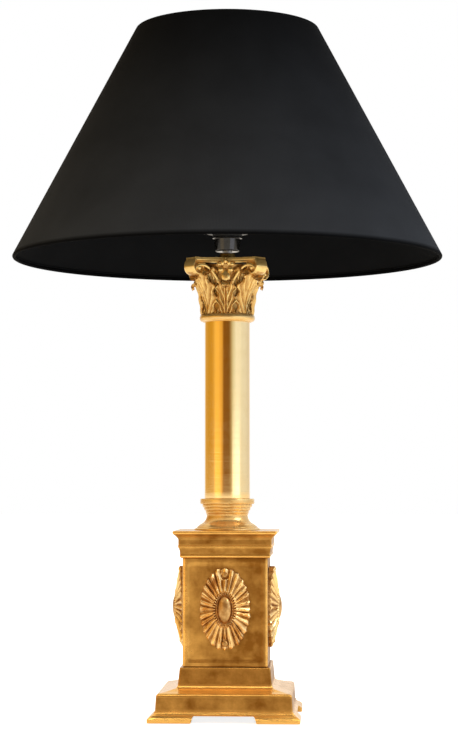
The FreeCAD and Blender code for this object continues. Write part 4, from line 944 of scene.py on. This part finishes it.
def pale_table():
    """Pale matt table that keeps the lamp's shadow. The camera and glass see it glow nearly
    white, and metal sees a share of that glow."""
    material, tree, shader = new_finish("pale table")
    nodes, links = tree.nodes, tree.links
    nodes.remove(shader)
    matt = nodes.new("ShaderNodeBsdfDiffuse")
    matt.inputs["Color"].default_value = (0.86, 0.86, 0.85, 1)
    glow = nodes.new("ShaderNodeEmission")
    glow.inputs["Color"].default_value = (1, 1, 1, 1)
    rays = nodes.new("ShaderNodeLightPath").outputs
    direct = maths(tree, "MAXIMUM", rays["Is Camera Ray"], rays["Is Transmission Ray"])
    seen = maths(tree, "MULTIPLY_ADD", rays["Is Glossy Ray"], mirrored_share, direct)
    links.new(maths(tree, "MULTIPLY", seen, table_glow), glow.inputs["Strength"])
    both = nodes.new("ShaderNodeAddShader")
    links.new(matt.outputs[0], both.inputs[0])
    links.new(glow.outputs[0], both.inputs[1])
    links.new(both.outputs[0], nodes["Material Output"].inputs["Surface"])
    return material


table_mesh = bpy.data.meshes.new("table")
table_mesh.from_pydata([(-8, -4, -0.0006), (8, -4, -0.0006), (8, 12, -0.0006), (-8, 12, -0.0006)],
                       [], [(0, 1, 2, 3)])
table_mesh.materials.append(pale_table())
table = bpy.data.objects.new("table", table_mesh)
bpy.context.scene.collection.objects.link(table)


def softbox(name, place, aim, width, height, power, colour):
    """A rectangular area light that faces aim."""
    light = bpy.data.lights.new(name, "AREA")
    light.shape = "RECTANGLE"
    light.size, light.size_y = width, height
    light.energy, light.color = power, colour
    lamp = bpy.data.objects.new(name, light)
    bpy.context.scene.collection.objects.link(lamp)
    lamp.location = place
    way = np.array(aim, float) - np.array(place, float)
    lamp.rotation_euler = (math.acos(way[2] / -np.linalg.norm(way)), 0,
                           math.atan2(way[1], way[0]) - math.pi / 2)
    return lamp


softbox("right_softbox", (1.6, -0.9, 0.45), (0, 0, 0.35), 1.2, 1.2, 0.4, (0.97, 1.0, 1.0))
softbox("high_softbox", (1.6, -0.6, 1.5), (0, 0, 0.5), 1.0, 0.7, 13, (0.92, 1.0, 1.15))
softbox("low_softbox", (1.6, -1.4, 0.17), (0, 0, 0.42), 1.6, 0.28, 1.4, (0.92, 1.0, 1.25))
softbox("left_softbox", (-1.4, -1.1, 0.6), (0, 0, 0.35), 0.9, 1.4, 0.5, (0.95, 0.60, 0.15))
softbox("left_low_softbox", (-1.4, -1.35, 0.16), (0, 0, 0.42), 1.2, 0.26, 0.6, (1.0, 0.60, 0.14))
softbox("top_softbox", (0.2, -0.7, 2.4), (0, 0, 0.2), 1.6, 1.2, 13, (1.0, 0.95, 0.88))

world = bpy.data.worlds.new("studio")
bpy.context.scene.world = world
world.use_nodes = True
sky = world.node_tree
air, joins = sky.nodes, sky.links
room = air["Background"]
parts = air.new("ShaderNodeSeparateXYZ")
joins.new(air.new("ShaderNodeTexCoord").outputs["Generated"], parts.inputs["Vector"])
across, along, above = (parts.outputs[axis] for axis in "XYZ")
turn = maths(sky, "ARCTAN2", across, maths(sky, "MULTIPLY", along, -1.0))
walls = air.new("ShaderNodeValToRGB")
stops = walls.color_ramp.elements
room_colours = [(-180, (0.80, 0.60, 0.32)), (-135, (0.72, 0.44, 0.11)), (-104, (0.63, 0.37, 0.05)),
                (-82, (0.68, 0.39, 0.05)), (-60, (0.90, 0.58, 0.14)), (-42, (0.95, 0.59, 0.13)),
                (-23, (0.84, 0.48, 0.10)), (-16, (0.26, 0.11, 0.01)), (13, (0.22, 0.10, 0.015)),
                (21, (0.45, 0.36, 0.20)), (34, (0.78, 0.82, 0.78)), (48, (0.88, 1.00, 1.22)),
                (100, (0.88, 0.98, 1.2)), (125, (0.80, 0.86, 1.0)), (150, (0.66, 0.66, 0.66)),
                (180, (0.80, 0.60, 0.32))]
for index, (degrees, tint) in enumerate(room_colours):
    stop = stops[index] if index < 2 else stops.new(degrees / 360 + 0.5)
    stop.position = degrees / 360 + 0.5
    stop.color = (*tint, 1)
joins.new(spread(sky, turn, 0.0, 1.0, -math.pi, math.pi), walls.inputs["Fac"])
dome = air.new("ShaderNodeMix")
dome.data_type = "RGBA"
dome.inputs["B"].default_value = (1.15, 1.05, 0.90, 1)
joins.new(spread(sky, above, 0.0, 1.0, 0.35, 0.75), dome.inputs["Factor"])
joins.new(walls.outputs["Color"], dome.inputs["A"])
joins.new(dome.outputs["Result"], room.inputs["Color"])
white = air.new("ShaderNodeBackground")
white.inputs["Color"].default_value = (1, 1, 1, 1)
rays = air.new("ShaderNodeLightPath").outputs
mirrored = maths(sky, "MULTIPLY", rays["Is Glossy Ray"], spread(sky, along, 0.0, 1.0, 0.76, 0.9))
direct = maths(sky, "MAXIMUM", rays["Is Camera Ray"], rays["Is Transmission Ray"])
swap = air.new("ShaderNodeMixShader")
joins.new(maths(sky, "MAXIMUM", direct, mirrored), swap.inputs["Fac"])
joins.new(room.outputs[0], swap.inputs[1])
joins.new(white.outputs[0], swap.inputs[2])
joins.new(swap.outputs[0], air["World Output"].inputs["Surface"])

# Camera: 2.09 m away, a little above the die, turned 3 degrees to the right side of the lamp
# and tilted up, with a long lens.

lens = bpy.data.cameras.new("camera")
lens.sensor_fit = "VERTICAL"
lens.sensor_height = 36.0
lens.lens = 36.0 * 2000 / 730
lens.clip_end = 100
camera = bpy.data.objects.new("camera", lens)
bpy.context.scene.collection.objects.link(camera)
bpy.context.scene.camera = camera
round_to, camera_away, camera_high = math.radians(3.0), 2.094, 0.2433
camera.location = (camera_away * math.sin(round_to), -camera_away * math.cos(round_to),
                   camera_high)
camera.rotation_euler = (math.radians(90 + 3.3), 0, round_to - 1.7 / 2000)

bpy.context.scene.view_settings.view_transform = "Standard"
